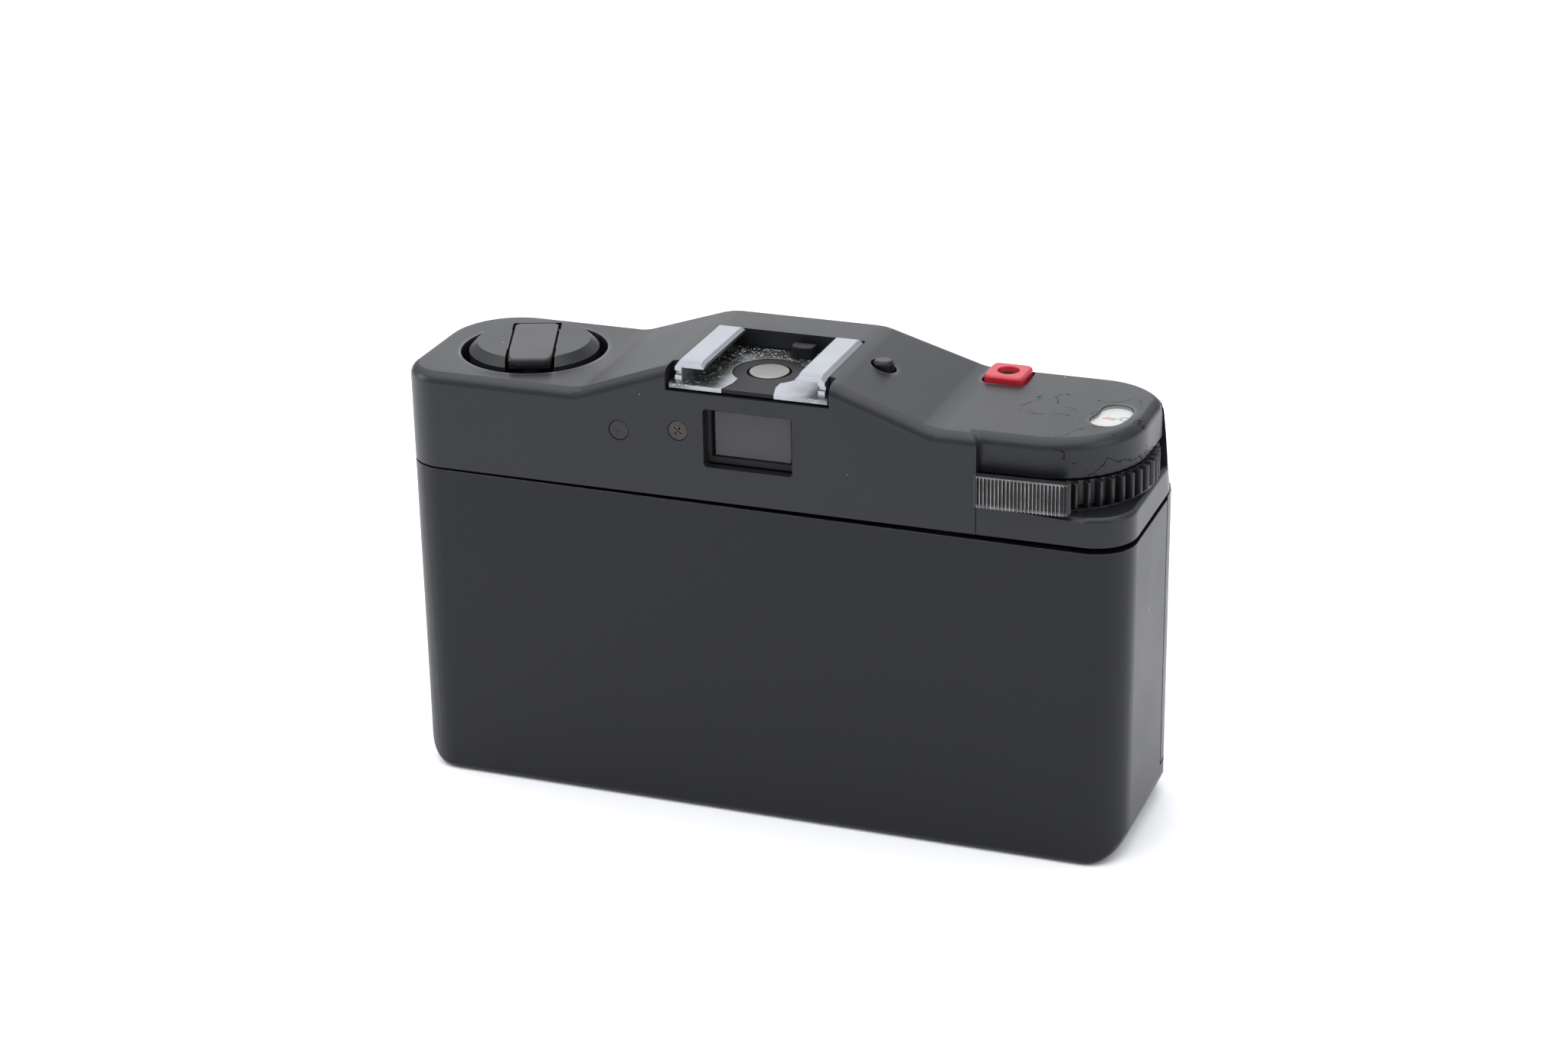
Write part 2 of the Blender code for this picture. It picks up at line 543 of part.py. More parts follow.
def make_front_shell():
    """The fixed front wall with the opening for the folding front and its hinge ears."""
    shell = prism("front_shell", body_plan(0), SKIRT_HEIGHT + GAP, SEAM_Z - SEAM_GAP, "black_shell")
    carve(shell, prism("cut_shell_inside", body_plan(WALL), -5, SEAM_Z + 5))
    carve(shell, block("cut_shell_rear", (-SIDE_X - 5, SIDE_SEAM_Y - GAP, -5),
                       (SIDE_X + 5, REAR_Y + 5, SEAM_Z + 5)))
    half = FLAP_WIDTH / 2 + GAP
    pocket = hinge_pocket(0)
    bar_low = 0.5
    for side in (-1, 1):
        ear = sorted((side * half, side * pocket[0]))
        carve(shell, block(f"join_ear_{side}", (ear[0], FRONT_Y, bar_low),
                           (ear[1], pocket[1], pocket[2])), "UNION")
    carve(shell, block("join_hinge_bar", (-half - 1, pocket[1] - 1.5, bar_low),
                       (half + 1, pocket[1], CHASSIS_Z - GAP)), "UNION")
    carve(shell, block("cut_shell_bay", (-half, FRONT_Y - 5, -5),
                       (half, pocket[1] - 1.5, SEAM_Z + 5)))
    carve(shell, slant_cutter("cut_shell_slant"))
    carve(shell, disc("cut_shell_pin", PIN_RADIUS + GAP, -half - 3, half + 3, (HINGE_Y, HINGE_Z),
                      axis="X", steps=20))
    return shell


def make_chassis():
    """The moulded film chassis: cassette and spool rooms, film gate, lens bay, light sleeve."""
    clear = WALL + GAP
    chassis = prism("chassis", body_plan(clear), CHASSIS_Z, CHASSIS_TOP_Z, "black_inner")
    carve(chassis, block("cut_chassis_back", (-SIDE_X, FILM_Y, -5), (SIDE_X, REAR_Y + 5, SEAM_Z)))
    carve(chassis, disc("cut_cassette_room", CASSETTE_RADIUS, -5, SEAM_Z + 5, (REWIND_X, AXIS_Y)))
    carve(chassis, block("cut_cassette_door", (REWIND_X - CASSETTE_RADIUS, AXIS_Y, -5),
                         (SIDE_X + 5, REAR_Y + 5, SEAM_Z + 5)))
    room_low = CHASSIS_Z + 1.3
    room_high = CHASSIS_TOP_Z - 0.8
    for room_name, radius, place in (("spool", SPOOL_ROOM, (WHEEL_X, AXIS_Y, 0)),
                                     ("sprocket", SPROCKET_RADIUS + 0.7,
                                      (SPROCKET_X, SPROCKET_Y, 0))):
        profile = [(0, -5), (1.6, -5), (1.6, room_low), (radius, room_low), (radius, room_high),
                   (1.6, room_high), (1.6, SEAM_Z + 5), (0, SEAM_Z + 5)]
        carve(chassis, turned(f"cut_{room_name}_room", profile, place))
    carve(chassis, block("cut_spool_door", (-SIDE_X - 5, AXIS_Y + 3, room_low + 0.01),
                         (WHEEL_X + SPOOL_ROOM - 1.0, REAR_Y + 5, room_high - 0.01)))
    carve(chassis, block("cut_gate", (-FRAME_WIDTH / 2, 0, LENS_Z - FRAME_HEIGHT / 2),
                         (FRAME_WIDTH / 2, REAR_Y, LENS_Z + FRAME_HEIGHT / 2)))
    bay_half = BAY_WIDTH / 2
    bay_bottom = LENS_Z - SLEEVE_RADIUS - BAY_CLEARANCE
    carve(chassis, block("cut_bay", (-bay_half, FRONT_Y - 5, bay_bottom),
                         (bay_half, BAY_BACK_Y, BAY_TOP_Z)))
    carve(chassis, block("cut_bay_front", (-FLAP_WIDTH / 2 - GAP, FRONT_Y - 5, -5),
                         (FLAP_WIDTH / 2 + GAP, slant_y(CHASSIS_TOP_Z, FLAP_THICKNESS + GAP),
                          SEAM_Z + 5)))
    pocket = hinge_pocket(RUN)
    carve(chassis, block("cut_chassis_hinge", (-pocket[0], FRONT_Y - 5, -5),
                         (pocket[0], pocket[1], pocket[2])))
    cam_low = bay_half - 2 * CAM_SHEET - GAP
    for side in (-1, 1):
        slot = sorted((side * cam_low, side * bay_half))
        carve(chassis, block(f"cut_cam_slot_{side}", (slot[0], FRONT_Y - 5, HINGE_Z - 0.5),
                             (slot[1], HINGE_Y + CAM_RADIUS + 0.6, bay_bottom + 1)))
    # the fixed light sleeve stands forward from the gate
    carve(chassis, disc("join_sleeve", SLEEVE_RADIUS, SLEEVE_FRONT_Y, BAY_BACK_Y + 0.5, (0, LENS_Z),
                        axis="Y", steps=40, bore=SLEEVE_RADIUS - SLEEVE_WALL), "UNION")
    carve(chassis, disc("cut_chassis_bush", BUSH_RADIUS + 2.4, -5, CHASSIS_Z + 2.4,
                        (BUSH_X, BUSH_Y)))
    carve(chassis, disc("cut_chassis_key", KEY_RADIUS, -5, CHASSIS_Z + 2.4, (KEY_X, KEY_Y)))
    # battery tube above the bay, opening downwards into it
    carve(chassis, disc("join_cell_tube", CELL_RADIUS + 1.3, CHASSIS_TOP_Z - 1,
                        CHASSIS_TOP_Z + CELL_HEIGHT + 1, (CELL_X, CELL_Y)), "UNION")
    carve(chassis, disc("cut_cell_tube", CELL_RADIUS + GAP, BAY_TOP_Z - 5,
                        CHASSIS_TOP_Z + CELL_HEIGHT + 5, (CELL_X, CELL_Y)))
    return chassis


def make_film_back():
    """The pressure plate and the leaf spring behind it, carried by the back cover."""
    half_width = FRAME_WIDTH / 2 + 6
    half_height = FRAME_HEIGHT / 2 + 5.5
    plate = rounded((-half_width, LENS_Z - half_height), (half_width, LENS_Z + half_height),
                    (2.0,) * 4, 4)
    prism("pressure_plate", plate, FILM_Y + 0.4, FILM_Y + 1.4, "black_metal", axis="Y")
    inner = REAR_Y - WALL - GAP
    near = FILM_Y + 1.4 + GAP
    reach = 15.0
    sheet = 0.35
    bow = [(-reach, inner - sheet), (-reach * 0.4, near), (reach * 0.4, near),
           (reach, inner - sheet), (reach, inner), (reach * 0.4, near + sheet),
           (-reach * 0.4, near + sheet), (-reach, inner)]
    prism("pressure_spring", bow, LENS_Z - 5, LENS_Z + 5, "steel")


# ---- film transport ------------------------------------------------------------------------
def make_film_transport():
    """Take-up spool, film sprocket and the two gears under the deck."""
    spool_low = CHASSIS_Z + 1.7
    spool_high = CHASSIS_TOP_Z - 1.2
    flange = GEAR_DISTANCE - SPROCKET_RADIUS - RUN
    stub_high = CHASSIS_TOP_Z + GAP
    spool = [(0, CHASSIS_Z + 0.2), (1.2, CHASSIS_Z + 0.2), (1.2, spool_low), (flange, spool_low),
             (flange, spool_low + 1), (SPOOL_RADIUS, spool_low + 1), (SPOOL_RADIUS, spool_high - 1),
             (flange, spool_high - 1), (flange, spool_high), (1.2, spool_high), (1.2, stub_high),
             (0, stub_high)]
    made = turned("take_up_spool", spool, (WHEEL_X, AXIS_Y, 0), "black_inner")
    slot = block("cut_spool_slot", (WHEEL_X - 0.8, AXIS_Y, LENS_Z - 9),
                 (WHEEL_X + 0.8, AXIS_Y + SPOOL_RADIUS + 1, LENS_Z + 9))
    carve(made, slot)
    pivot(made, (WHEEL_X, AXIS_Y, spool_low))

    core = SPROCKET_RADIUS - 1.1
    shape = [(0, CHASSIS_Z + 0.2), (1.2, CHASSIS_Z + 0.2), (1.2, spool_low), (core, spool_low),
             (core, spool_high), (1.2, spool_high), (1.2, stub_high), (0, stub_high)]
    sprocket = turned("film_sprocket", shape, (SPROCKET_X, SPROCKET_Y, 0), "black_inner", steps=32)
    for offset in (-14.0, 14.0):
        ring = toothed(f"join_sprocket_{offset:.0f}", SPROCKET_RADIUS, 1.2, SPROCKET_TEETH,
                       LENS_Z + offset - 0.8, LENS_Z + offset + 0.8, (SPROCKET_X, SPROCKET_Y), None,
                       tip=0.2, root=0.55)
        carve(sprocket, ring, "UNION")
    pivot(sprocket, (SPROCKET_X, SPROCKET_Y, spool_low))

    gear_low = stub_high + GAP
    gear_radius = GEAR_DISTANCE / 2 - GAP / 2
    for name, place in (("drive_gear", (WHEEL_X, AXIS_Y)),
                        ("sprocket_gear", (SPROCKET_X, SPROCKET_Y))):
        gear = toothed(name, gear_radius, GEAR_TOOTH, GEAR_TEETH, gear_low, gear_low + GEAR_WIDTH,
                       place, "brass", tip=0.28, root=0.3)
        if name == "drive_gear":
            carve(gear, disc("cut_drive_gear", SHAFT_RADIUS + GAP, -5, SHOULDER_Z, place, steps=32))
        pivot(gear, (place[0], place[1], gear_low))


def make_advance_wheel():
    """The toothed wheel, its shaft and the ribbed thumb pad on its rim."""
    centre = (WHEEL_X, AXIS_Y)
    wheel = toothed("advance_wheel", WHEEL_RADIUS, WHEEL_TOOTH, WHEEL_TEETH, WHEEL_BOTTOM_Z,
                    WHEEL_TOP_Z, centre, "black_inner", tip=0.36, root=0.3)
    carve(wheel, disc("cut_wheel_bore", SHAFT_RADIUS + GAP, 0, SHOULDER_Z, centre, steps=32))
    pivot(wheel, (*centre, WHEEL_BOTTOM_Z))
    shaft_low = CHASSIS_TOP_Z + 2 * GAP
    shaft = disc("wheel_shaft", SHAFT_RADIUS, shaft_low, SHAFT_TOP_Z, centre, "steel", steps=32)
    pivot(shaft, (*centre, shaft_low))

    inner = WHEEL_RADIUS + GAP
    half = PAD_LENGTH / 2
    outline = [(-half, inner), (half, inner)]
    ridge = (PAD_LENGTH - 2.0) / PAD_RIDGES
    outer = inner + PAD_THICKNESS
    outline += arc((half - 1.0, outer - 1.0), 1.0, 0, 90, 3)[:-1]
    for number in range(PAD_RIDGES):
        start = half - 1.0 - number * ridge
        outline += [(start, outer), (start - ridge * 0.5, outer), (start - ridge * 0.75,
                                                                     outer - 0.3)]
    outline += arc((-half + 1.0, outer - 1.0), 1.0, 90, 180, 3)
    lean = math.radians(-2.0)
    spun = [(centre[0] + x * math.cos(lean) + y * math.sin(lean),
             centre[1] - x * math.sin(lean) + y * math.cos(lean)) for x, y in outline]
    pad = prism("thumb_pad", spun, PAD_BOTTOM_Z, PAD_TOP_Z, "black_metal")
    pivot(pad, (*centre, PAD_BOTTOM_Z))


def make_counter():
    """The frame counter's dial, its window and the plate that carries them."""
    centre = (WHEEL_X, AXIS_Y)
    dial = disc("counter_dial", DIAL_RADIUS, DIAL_Z, DIAL_Z + 0.6, centre, "white", steps=40)
    pivot(dial, (*centre, DIAL_Z))
    prism("counter_window", counter_outline(GAP / 2), HOOD_ROOF_Z + 0.2, SHOULDER_Z - 0.15, "glass")
    disc("mechanism_plate", HOOD_RADIUS - WALL - GAP, HOOD_BOTTOM_Z + 0.2, HOOD_BOTTOM_Z + 0.8,
         centre, "steel", steps=48, bore=SHAFT_RADIUS + RUN)


# ---- rewind --------------------------------------------------------------------------------
def make_rewind():
    """Knob, folding crank, its pin, the forked shaft and the lifting collar."""
    centre = (REWIND_X, AXIS_Y)
    bottom = SHOULDER_Z - KNOB_DEPTH
    profile = [(0, bottom), (KNOB_RADIUS, bottom), (KNOB_RADIUS, SHOULDER_Z + 0.05),
               (KNOB_FACE_RADIUS, KNOB_TOP_Z), (0, KNOB_TOP_Z)]
    knob = turned("rewind_knob", profile, (*centre, 0), "black_shell", steps=64)
    crank_top = KNOB_TOP_Z + 0.1
    crank_bottom = crank_top - CRANK_THICKNESS
    half = CRANK_WIDTH / 2
    turn = math.radians(CRANK_ANGLE)

    def around(x, y):
        return (centre[0] + x * math.cos(turn) - y * math.sin(turn),
                centre[1] + x * math.sin(turn) + y * math.cos(turn))

    def lever_box(name, low, high, finish_name=None):
        outline = [around(x, y) for x, y in ((low[0], low[1]), (high[0], low[1]),
                                             (high[0], high[1]), (low[0], high[1]))]
        return prism(name, outline, low[2], high[2], finish_name)

    pin_y = CRANK_TAIL - CRANK_FAR
    pin_z = crank_bottom + 0.2
    tail = math.hypot(CRANK_TAIL, crank_top - pin_z) + GAP
    carve(knob, lever_box("cut_knob_groove", (-half - GAP, pin_y, crank_bottom - GAP),
                          (half + GAP, KNOB_RADIUS + 5, KNOB_TOP_Z + 5)))
    carve(knob, lever_box("cut_knob_tail_room", (-half - RUN, pin_y - tail, pin_z - tail),
                          (half + RUN, pin_y + tail, KNOB_TOP_Z + 6)))
    stub_y = CRANK_NEAR - 2.1
    carve(knob, lever_box("cut_knob_notch", (-half - RUN, stub_y - 2.3, bottom + 0.8),
                          (half + RUN, KNOB_RADIUS + 6, KNOB_TOP_Z + 7)))
    fork_top = bottom + 1.6
    carve(knob, disc("cut_knob_shaft", FORK_RADIUS + 0.05 + GAP, 0, fork_top + GAP, centre,
                     steps=24))
    pivot(knob, (*centre, bottom))

    crank = lever_box("rewind_crank", (-half, -CRANK_FAR, crank_bottom),
                      (half, CRANK_NEAR, crank_top), "black_shell")
    carve(crank, lever_box("join_crank_lip", (-half + 0.1, CRANK_NEAR - 0.8, crank_bottom - 0.45),
                           (half - 0.1, CRANK_NEAR - 0.1, crank_top - 0.2)), "UNION")
    stub = disc("join_crank_stub", 1.7, bottom + 0.8 + GAP, crank_bottom + 0.3,
                around(0, stub_y), steps=24)
    carve(crank, stub, "UNION")
    hinge = around(0, pin_y)
    pin_room = turned("cut_crank_pin", [(0, -half - 1), (0.55, -half - 1), (0.55, half + 1),
                                        (0, half + 1)], (0, 0, 0), axis="X", steps=16)
    pin_room.location = (hinge[0] * MM, hinge[1] * MM, pin_z * MM)
    pin_room.rotation_euler = (0, 0, turn)
    carve(crank, pin_room)
    crank.data.transform(Matrix.Translation(Vector((-hinge[0], -hinge[1], -pin_z)) * MM))
    crank.location = Vector((*hinge, pin_z)) * MM
    pin = turned("crank_pin", [(0, -half), (0.3, -half), (0.3, half), (0, half)], (0, 0, 0),
                 "steel", axis="X", steps=12)
    pin.location = pin_room.location
    pin.rotation_euler = pin_room.rotation_euler

    collar_low = CASSETTE_TOP_Z - 2.6
    disc("rewind_collar", COLLAR_RADIUS, collar_low, bottom - GAP, centre, "steel", steps=32,
         bore=FORK_RADIUS + GAP)
    fork = disc("rewind_fork", FORK_RADIUS, collar_low - 1.4, fork_top, centre, "steel", steps=24)
    prong = block("join_fork", (centre[0] - 2.4, centre[1] - 0.6, collar_low - 4.2),
                  (centre[0] + 2.4, centre[1] + 0.6, collar_low - 1.2))
    carve(fork, prong, "UNION")
    pivot(fork, (*centre, collar_low))


# ---- shoe, viewfinder, buttons -------------------------------------------------------------
def make_shoe():
    """The accessory shoe: folded rails on a plate, with an insulated centre contact."""
    rear = REAR_Y - SHOE_REAR_INSET
    front = rear - SHOE_LENGTH
    plate_low = SHOE_FLOOR_Z - SHOE_SHEET
    shoe = block("accessory_shoe", (EYE_X - SHOE_WIDTH / 2, front, plate_low),
                 (EYE_X + SHOE_WIDTH / 2, rear, SHOE_FLOOR_Z), "bright_metal")
    for side in (-1, 1):
        inner = SHOE_SLOT / 2
        rail = [(EYE_X + side * x, z) for x, z in (
            (inner, plate_low + 0.1), (inner + SHOE_RAIL_WALL, plate_low + 0.1),
            (inner + SHOE_RAIL_WALL, SHOE_TOP_Z - 0.4), (inner + SHOE_RAIL_WALL - 0.4, SHOE_TOP_Z),
            (SHOE_MOUTH / 2, SHOE_TOP_Z), (SHOE_MOUTH / 2, SHOE_TOP_Z - SHOE_LIP),
            (inner, SHOE_TOP_Z - SHOE_LIP))]
        carve(shoe, prism(f"join_shoe_rail_{side}", rail, front, rear - 0.8, axis="Y"), "UNION")
    middle = (EYE_X, (front + rear) / 2)
    stem = 2.6
    carve(shoe, disc("cut_shoe_disc", INSULATOR_RADIUS + GAP, plate_low - 1, SHOE_FLOOR_Z + 1,
                     middle))
    carve(shoe, block("cut_shoe_stem", (EYE_X - stem - GAP, middle[1], plate_low - 1),
                      (EYE_X + stem + GAP, rear - 1.2, SHOE_FLOOR_Z + 1)))
    insulator = disc("shoe_insulator", INSULATOR_RADIUS, plate_low, SHOE_FLOOR_Z - 0.05, middle,
                     "black_inner")
    carve(insulator, block("join_insulator_stem", (EYE_X - stem, middle[1], plate_low),
                           (EYE_X + stem, rear - 1.2 - GAP, SHOE_FLOOR_Z - 0.05)), "UNION")
    carve(insulator, disc("cut_insulator", CONTACT_RADIUS + GAP, plate_low - 1, SHOE_FLOOR_Z + 1,
                          middle))
    disc("shoe_contact", CONTACT_RADIUS, plate_low, SHOE_FLOOR_Z + 0.05, middle, "steel")


def make_viewfinder():
    """The viewfinder tube with its eyepiece and front windows, and the light cell window."""
    half = EYEPIECE_WIDTH / 2 + GAP
    low = EYEPIECE_Z - EYEPIECE_HEIGHT / 2 - GAP
    high = EYEPIECE_Z + EYEPIECE_HEIGHT / 2 + GAP
    front = slant_y(high, 4.0)
    rear = REAR_Y - WALL - GAP
    tube = block("viewfinder_tube", (EYE_X - half, front, low), (EYE_X + half, rear, high),
                 "black_inner")
    room = half - FINDER_WALL
    carve(tube, block("cut_finder_tube", (EYE_X - room, front - 5, low + FINDER_WALL),
                      (EYE_X + room, rear + 5, high - FINDER_WALL)))
    block("eyepiece_window", (EYE_X - room + GAP, rear - GAP - PANE, low + FINDER_WALL + GAP),
          (EYE_X + room - GAP, rear - GAP, high - FINDER_WALL - GAP), "glass")
    lean = -math.atan(SLANT)
    for name, place_x, place_z, half_x, half_z, round_pane in (
            ("viewfinder_window", EYE_X, EYEPIECE_Z, FINDER_PANE[0] - GAP, FINDER_PANE[1] - GAP,
             False),
            ("light_cell_window", CELL_WINDOW_X, EYEPIECE_Z - 1, CELL_PANE - GAP, CELL_PANE - GAP,
             True)):
        if round_pane:
            pane = disc(name, half_x, -PANE / 2, PANE / 2, (0, 0), "glass", axis="Y", steps=32)
        else:
            pane = prism(name, rounded((-half_x, -half_z), (half_x, half_z), (0.5,) * 4, 3),
                         -PANE / 2, PANE / 2, "glass", axis="Y")
        depth = FLAP_THICKNESS + GAP + 0.2 + PANE / 2
        pane.location = Vector((place_x, slant_y(place_z, depth), place_z)) * MM
        pane.rotation_euler = (lean, 0, 0)


def make_buttons():
    """The square release button, the round battery-check button and the meter board."""
    half = RELEASE_SIDE / 2
    top = SHOULDER_Z + RELEASE_RISE
    button = prism("release_button", rounded((RELEASE_X - half, RELEASE_Y - half),
                                             (RELEASE_X + half, RELEASE_Y + half), (0.8,) * 4, 3),
                   HOOD_ROOF_Z + 0.2, top, "red")
    stem_low = HOOD_BOTTOM_Z + 1.3
    carve(button, disc("join_release_stem", 1.4, stem_low, HOOD_ROOF_Z + 0.5,
                       (RELEASE_X, RELEASE_Y), steps=24), "UNION")
    carve(button, disc("cut_release_thread", 1.45, HOOD_ROOF_Z + 0.7, top + 1,
                       (RELEASE_X, RELEASE_Y), steps=24))
    pivot(button, (RELEASE_X, RELEASE_Y, HOOD_ROOF_Z))
    disc("release_clip", 2.1, stem_low, stem_low + 0.5, (RELEASE_X, RELEASE_Y), "steel", steps=24,
         bore=1.4 + GAP)

    foot = SHOULDER_Z - ROOF - GAP - 0.8
    shape = [(0, foot), (2.1, foot), (2.1, foot + 0.8), (CHECK_RADIUS, foot + 0.8),
             (CHECK_RADIUS, CHECK_TOP_Z - 0.2), (CHECK_RADIUS - 0.2, CHECK_TOP_Z),
             (0, CHECK_TOP_Z)]
    check = turned("check_button", shape, (CHECK_X, CHECK_Y, 0), "black_shell", steps=24)
    pivot(check, (CHECK_X, CHECK_Y, foot))

    left = WHEEL_X + WHEEL_RADIUS + 1.7 + GAP
    right = EYE_X - EYEPIECE_WIDTH / 2 - 3 * GAP
    block("meter_board", (left, -6, foot - 2.4), (right, REAR_Y - WALL - GAP, foot - 1.2), "board")


def make_screws():
    """The two small screws in the rear wall."""
    for number, place in enumerate(SCREW_PLACES):
        screw = disc(f"rear_screw_{number + 1}", SCREW_RADIUS, REAR_Y - WALL, REAR_Y - 0.05, place,
                     "black_shell", axis="Y", steps=20)
        carve(screw, block(f"cut_screw_slot_{number}",
                           (place[0] - 2, REAR_Y - 0.35, place[1] - 0.2),
                           (place[0] + 2, REAR_Y + 1, place[1] + 0.2)))


# ---- folding front and lens ----------------------------------------------------------------
def make_flap():
    """The folding front with its knuckle, pin and the two cam plates that drive the lens."""
    half = FLAP_WIDTH / 2
    flap = prism("front_flap", flap_outline(0), FRONT_Y - 1, REAR_Y, "black_shell", axis="Y")
    carve(flap, flap_slab("trim_flap", 0.0, FLAP_THICKNESS), "INTERSECT")
    carve(flap, block("cut_flap_foot", (-half - 1, FRONT_Y - 1, HINGE_Z - KNUCKLE_RADIUS - 1),
                      (half + 1, HINGE_Y, HINGE_Z)))
    carve(flap, disc("join_knuckle", KNUCKLE_RADIUS, -half, half, (HINGE_Y, HINGE_Z),
                     axis="X", steps=32), "UNION")
    carve(flap, disc("cut_flap_pin", PIN_RADIUS + GAP, -half - 1, half + 1, (HINGE_Y, HINGE_Z),
                     axis="X", steps=20))
    pivot(flap, (0, HINGE_Y, HINGE_Z))
    disc("flap_hinge_pin", PIN_RADIUS, -half - 3, half + 3, (HINGE_Y, HINGE_Z), "steel", axis="X",
         steps=20)
    for side, name in ((1, "flap_cam_left"), (-1, "flap_cam_right")):
        outer = BAY_WIDTH / 2 - GAP
        ends = sorted((side * outer, side * (outer - CAM_SHEET)))
        start = math.degrees(math.asin(GAP / 2 / CAM_RADIUS)) + 2
        sector = arc((HINGE_Y, HINGE_Z), CAM_RADIUS, start, 90, 10)
        sector += arc((HINGE_Y, HINGE_Z), KNUCKLE_RADIUS + GAP, 90, start, 6)
        cam = prism(name, sector, ends[0], ends[1], "steel", axis="X")
        slot = arc((HINGE_Y, HINGE_Z), CAM_RADIUS - 2.0, 20, 72, 8)
        slot += arc((HINGE_Y, HINGE_Z), CAM_RADIUS - 3.4, 72, 20, 8)
        carve(cam, prism(f"cut_{name}", slot, ends[0] - 1, ends[1] + 1, axis="X"))
        pivot(cam, (0, HINGE_Y, HINGE_Z))


def ring(name, outer, inner, front, rear, finish_name, steps=40):
    """A ring about the lens axis."""
    return disc(name, outer, front, rear, (0, LENS_Z), finish_name, axis="Y", steps=steps,
                bore=inner)


def make_lens():
    """The telescoping sleeves, lens carrier, barrel, rings, shutter and glass."""
    step = SLEEVE_WALL + GAP
    middle_radius = SLEEVE_RADIUS - step
    carrier_radius = middle_radius - step
    rear = BAY_BACK_Y - RUN
    sleeve_front = SLEEVE_FRONT_Y
    ring("light_sleeve", middle_radius, middle_radius - SLEEVE_WALL, sleeve_front, rear,
         "black_metal")
    carrier = ring("lens_carrier", carrier_radius, BARREL_RADIUS + GAP, sleeve_front, rear,
                   "black_metal")
    carve(carrier, ring("cut_carrier", carrier_radius - SLEEVE_WALL, 0, sleeve_front + 1.2,
                        rear + 5, None))
    ring("lens_barrel", BARREL_RADIUS, BARREL_RADIUS - BARREL_WALL, LENS_FRONT_Y + 0.2, rear - 0.6,
         "black_metal")
    bore = BARREL_RADIUS + GAP
    aperture_front = sleeve_front - GAP - RING_WIDTH
    aperture = ring("aperture_ring", APERTURE_RADIUS, bore, aperture_front, sleeve_front - GAP,
                    "black_metal")
    focus = ring("focus_ring", FOCUS_RADIUS, bore, aperture_front - GAP - RING_WIDTH,
                 aperture_front - GAP, "black_metal")
    for piece in (aperture, focus):
        pivot(piece, (0, sleeve_front, LENS_Z))
    shutter_outer = carrier_radius - SLEEVE_WALL - GAP
    ring("shutter_unit", shutter_outer, bore, sleeve_front + 1.2 + GAP, sleeve_front + 6,
         "black_inner")
    glass = BARREL_RADIUS - BARREL_WALL - GAP
    ring("iris_plate", glass, 2.5, LENS_FRONT_Y + 6.6, LENS_FRONT_Y + 7.1, "black_inner", 24)
    for name, front, thick, bulge in (("front_element", LENS_FRONT_Y + 1.6, 2.0, 1.0),
                                      ("rear_element", LENS_FRONT_Y + 11.0, 1.6, -0.8)):
        profile = lens_profile(glass, front, thick, bulge)
        turned(name, profile, (0, 0, LENS_Z), "glass", axis="Y", steps=24)


def lens_profile(radius, front, thick, bulge):
    """Radius and height points of a glass with one curved face; heights run towards -Y."""
    points = [(0, -(front + thick))]
    points += [(radius, -(front + thick)), (radius, -front)]
    curve = 5
    for number in range(1, curve + 1):
        share = 1 - number / curve
        rise = bulge * (1 - share ** 2)
        points.append((radius * share, -front + rise * 0.9))
    return points


# ---- base fittings and battery -------------------------------------------------------------
def make_base_fittings():
    """Tripod bush, back lock key, battery cell and its cap."""
    flange_z = BASE_FLOOR + GAP
    bush = turned("tripod_bush", [(BUSH_BORE, 0.1), (BUSH_RADIUS, 0.1), (BUSH_RADIUS, flange_z),
                                  (BUSH_RADIUS + 1.8, flange_z), (BUSH_RADIUS + 1.8, flange_z + 1),
                                  (BUSH_BORE + 0.9, flange_z + 1), (BUSH_BORE + 0.9, CHASSIS_Z + 2),
                                  (BUSH_BORE, CHASSIS_Z + 2)], (BUSH_X, BUSH_Y, 0), "steel")
    pivot(bush, (BUSH_X, BUSH_Y, 0))
    key = disc("base_lock_key", KEY_RADIUS, 0.15, BASE_FLOOR - 0.6 - GAP, (KEY_X, KEY_Y),
               "steel")
    carve(key, block("cut_key_slot", (KEY_X - KEY_RADIUS + 1, KEY_Y - 0.6, -1),
                     (KEY_X + KEY_RADIUS - 1, KEY_Y + 0.6, 0.7)))
    carve(key, disc("join_key_shaft", 1.5, 0.9, CHASSIS_Z + 2.1, (KEY_X, KEY_Y), steps=24), "UNION")
    carve(key, block("join_key_bar", (KEY_X - 3.8, KEY_Y - 1, CHASSIS_Z + 0.9),
                     (KEY_X + 3.8, KEY_Y + 1, CHASSIS_Z + 2.1)), "UNION")
    pivot(key, (KEY_X, KEY_Y, 0.15))

    cap_low = BAY_TOP_Z + 0.1
    cap_high = cap_low + 1.5
    cap = disc("battery_cap", CELL_RADIUS, cap_low, cap_high, (CELL_X, CELL_Y), "black_inner")
    carve(cap, block("cut_cap_slot", (CELL_X - 4, CELL_Y - 0.6, cap_low - 1),
                     (CELL_X + 4, CELL_Y + 0.6, cap_low + 0.6)))
    pivot(cap, (CELL_X, CELL_Y, cap_low))
    disc("battery", CELL_RADIUS, cap_high + GAP, cap_high + GAP + CELL_HEIGHT, (CELL_X, CELL_Y),
         "steel")


for old in list(bpy.data.objects):
    bpy.data.objects.remove(old)

make_top_cover()
make_back_cover()
make_front_shell()
make_chassis()
make_film_back()
make_film_transport()
make_advance_wheel()
make_counter()
make_rewind()
make_shoe()
make_viewfinder()
make_buttons()
make_screws()
make_flap()
make_lens()
make_base_fittings()
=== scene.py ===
"""Looks of the compact film camera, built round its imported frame. Lengths are in millimetres until
they reach Blender, which takes metres."""

import json
import math

import bmesh
import bpy
from mathutils import Matrix, Vector

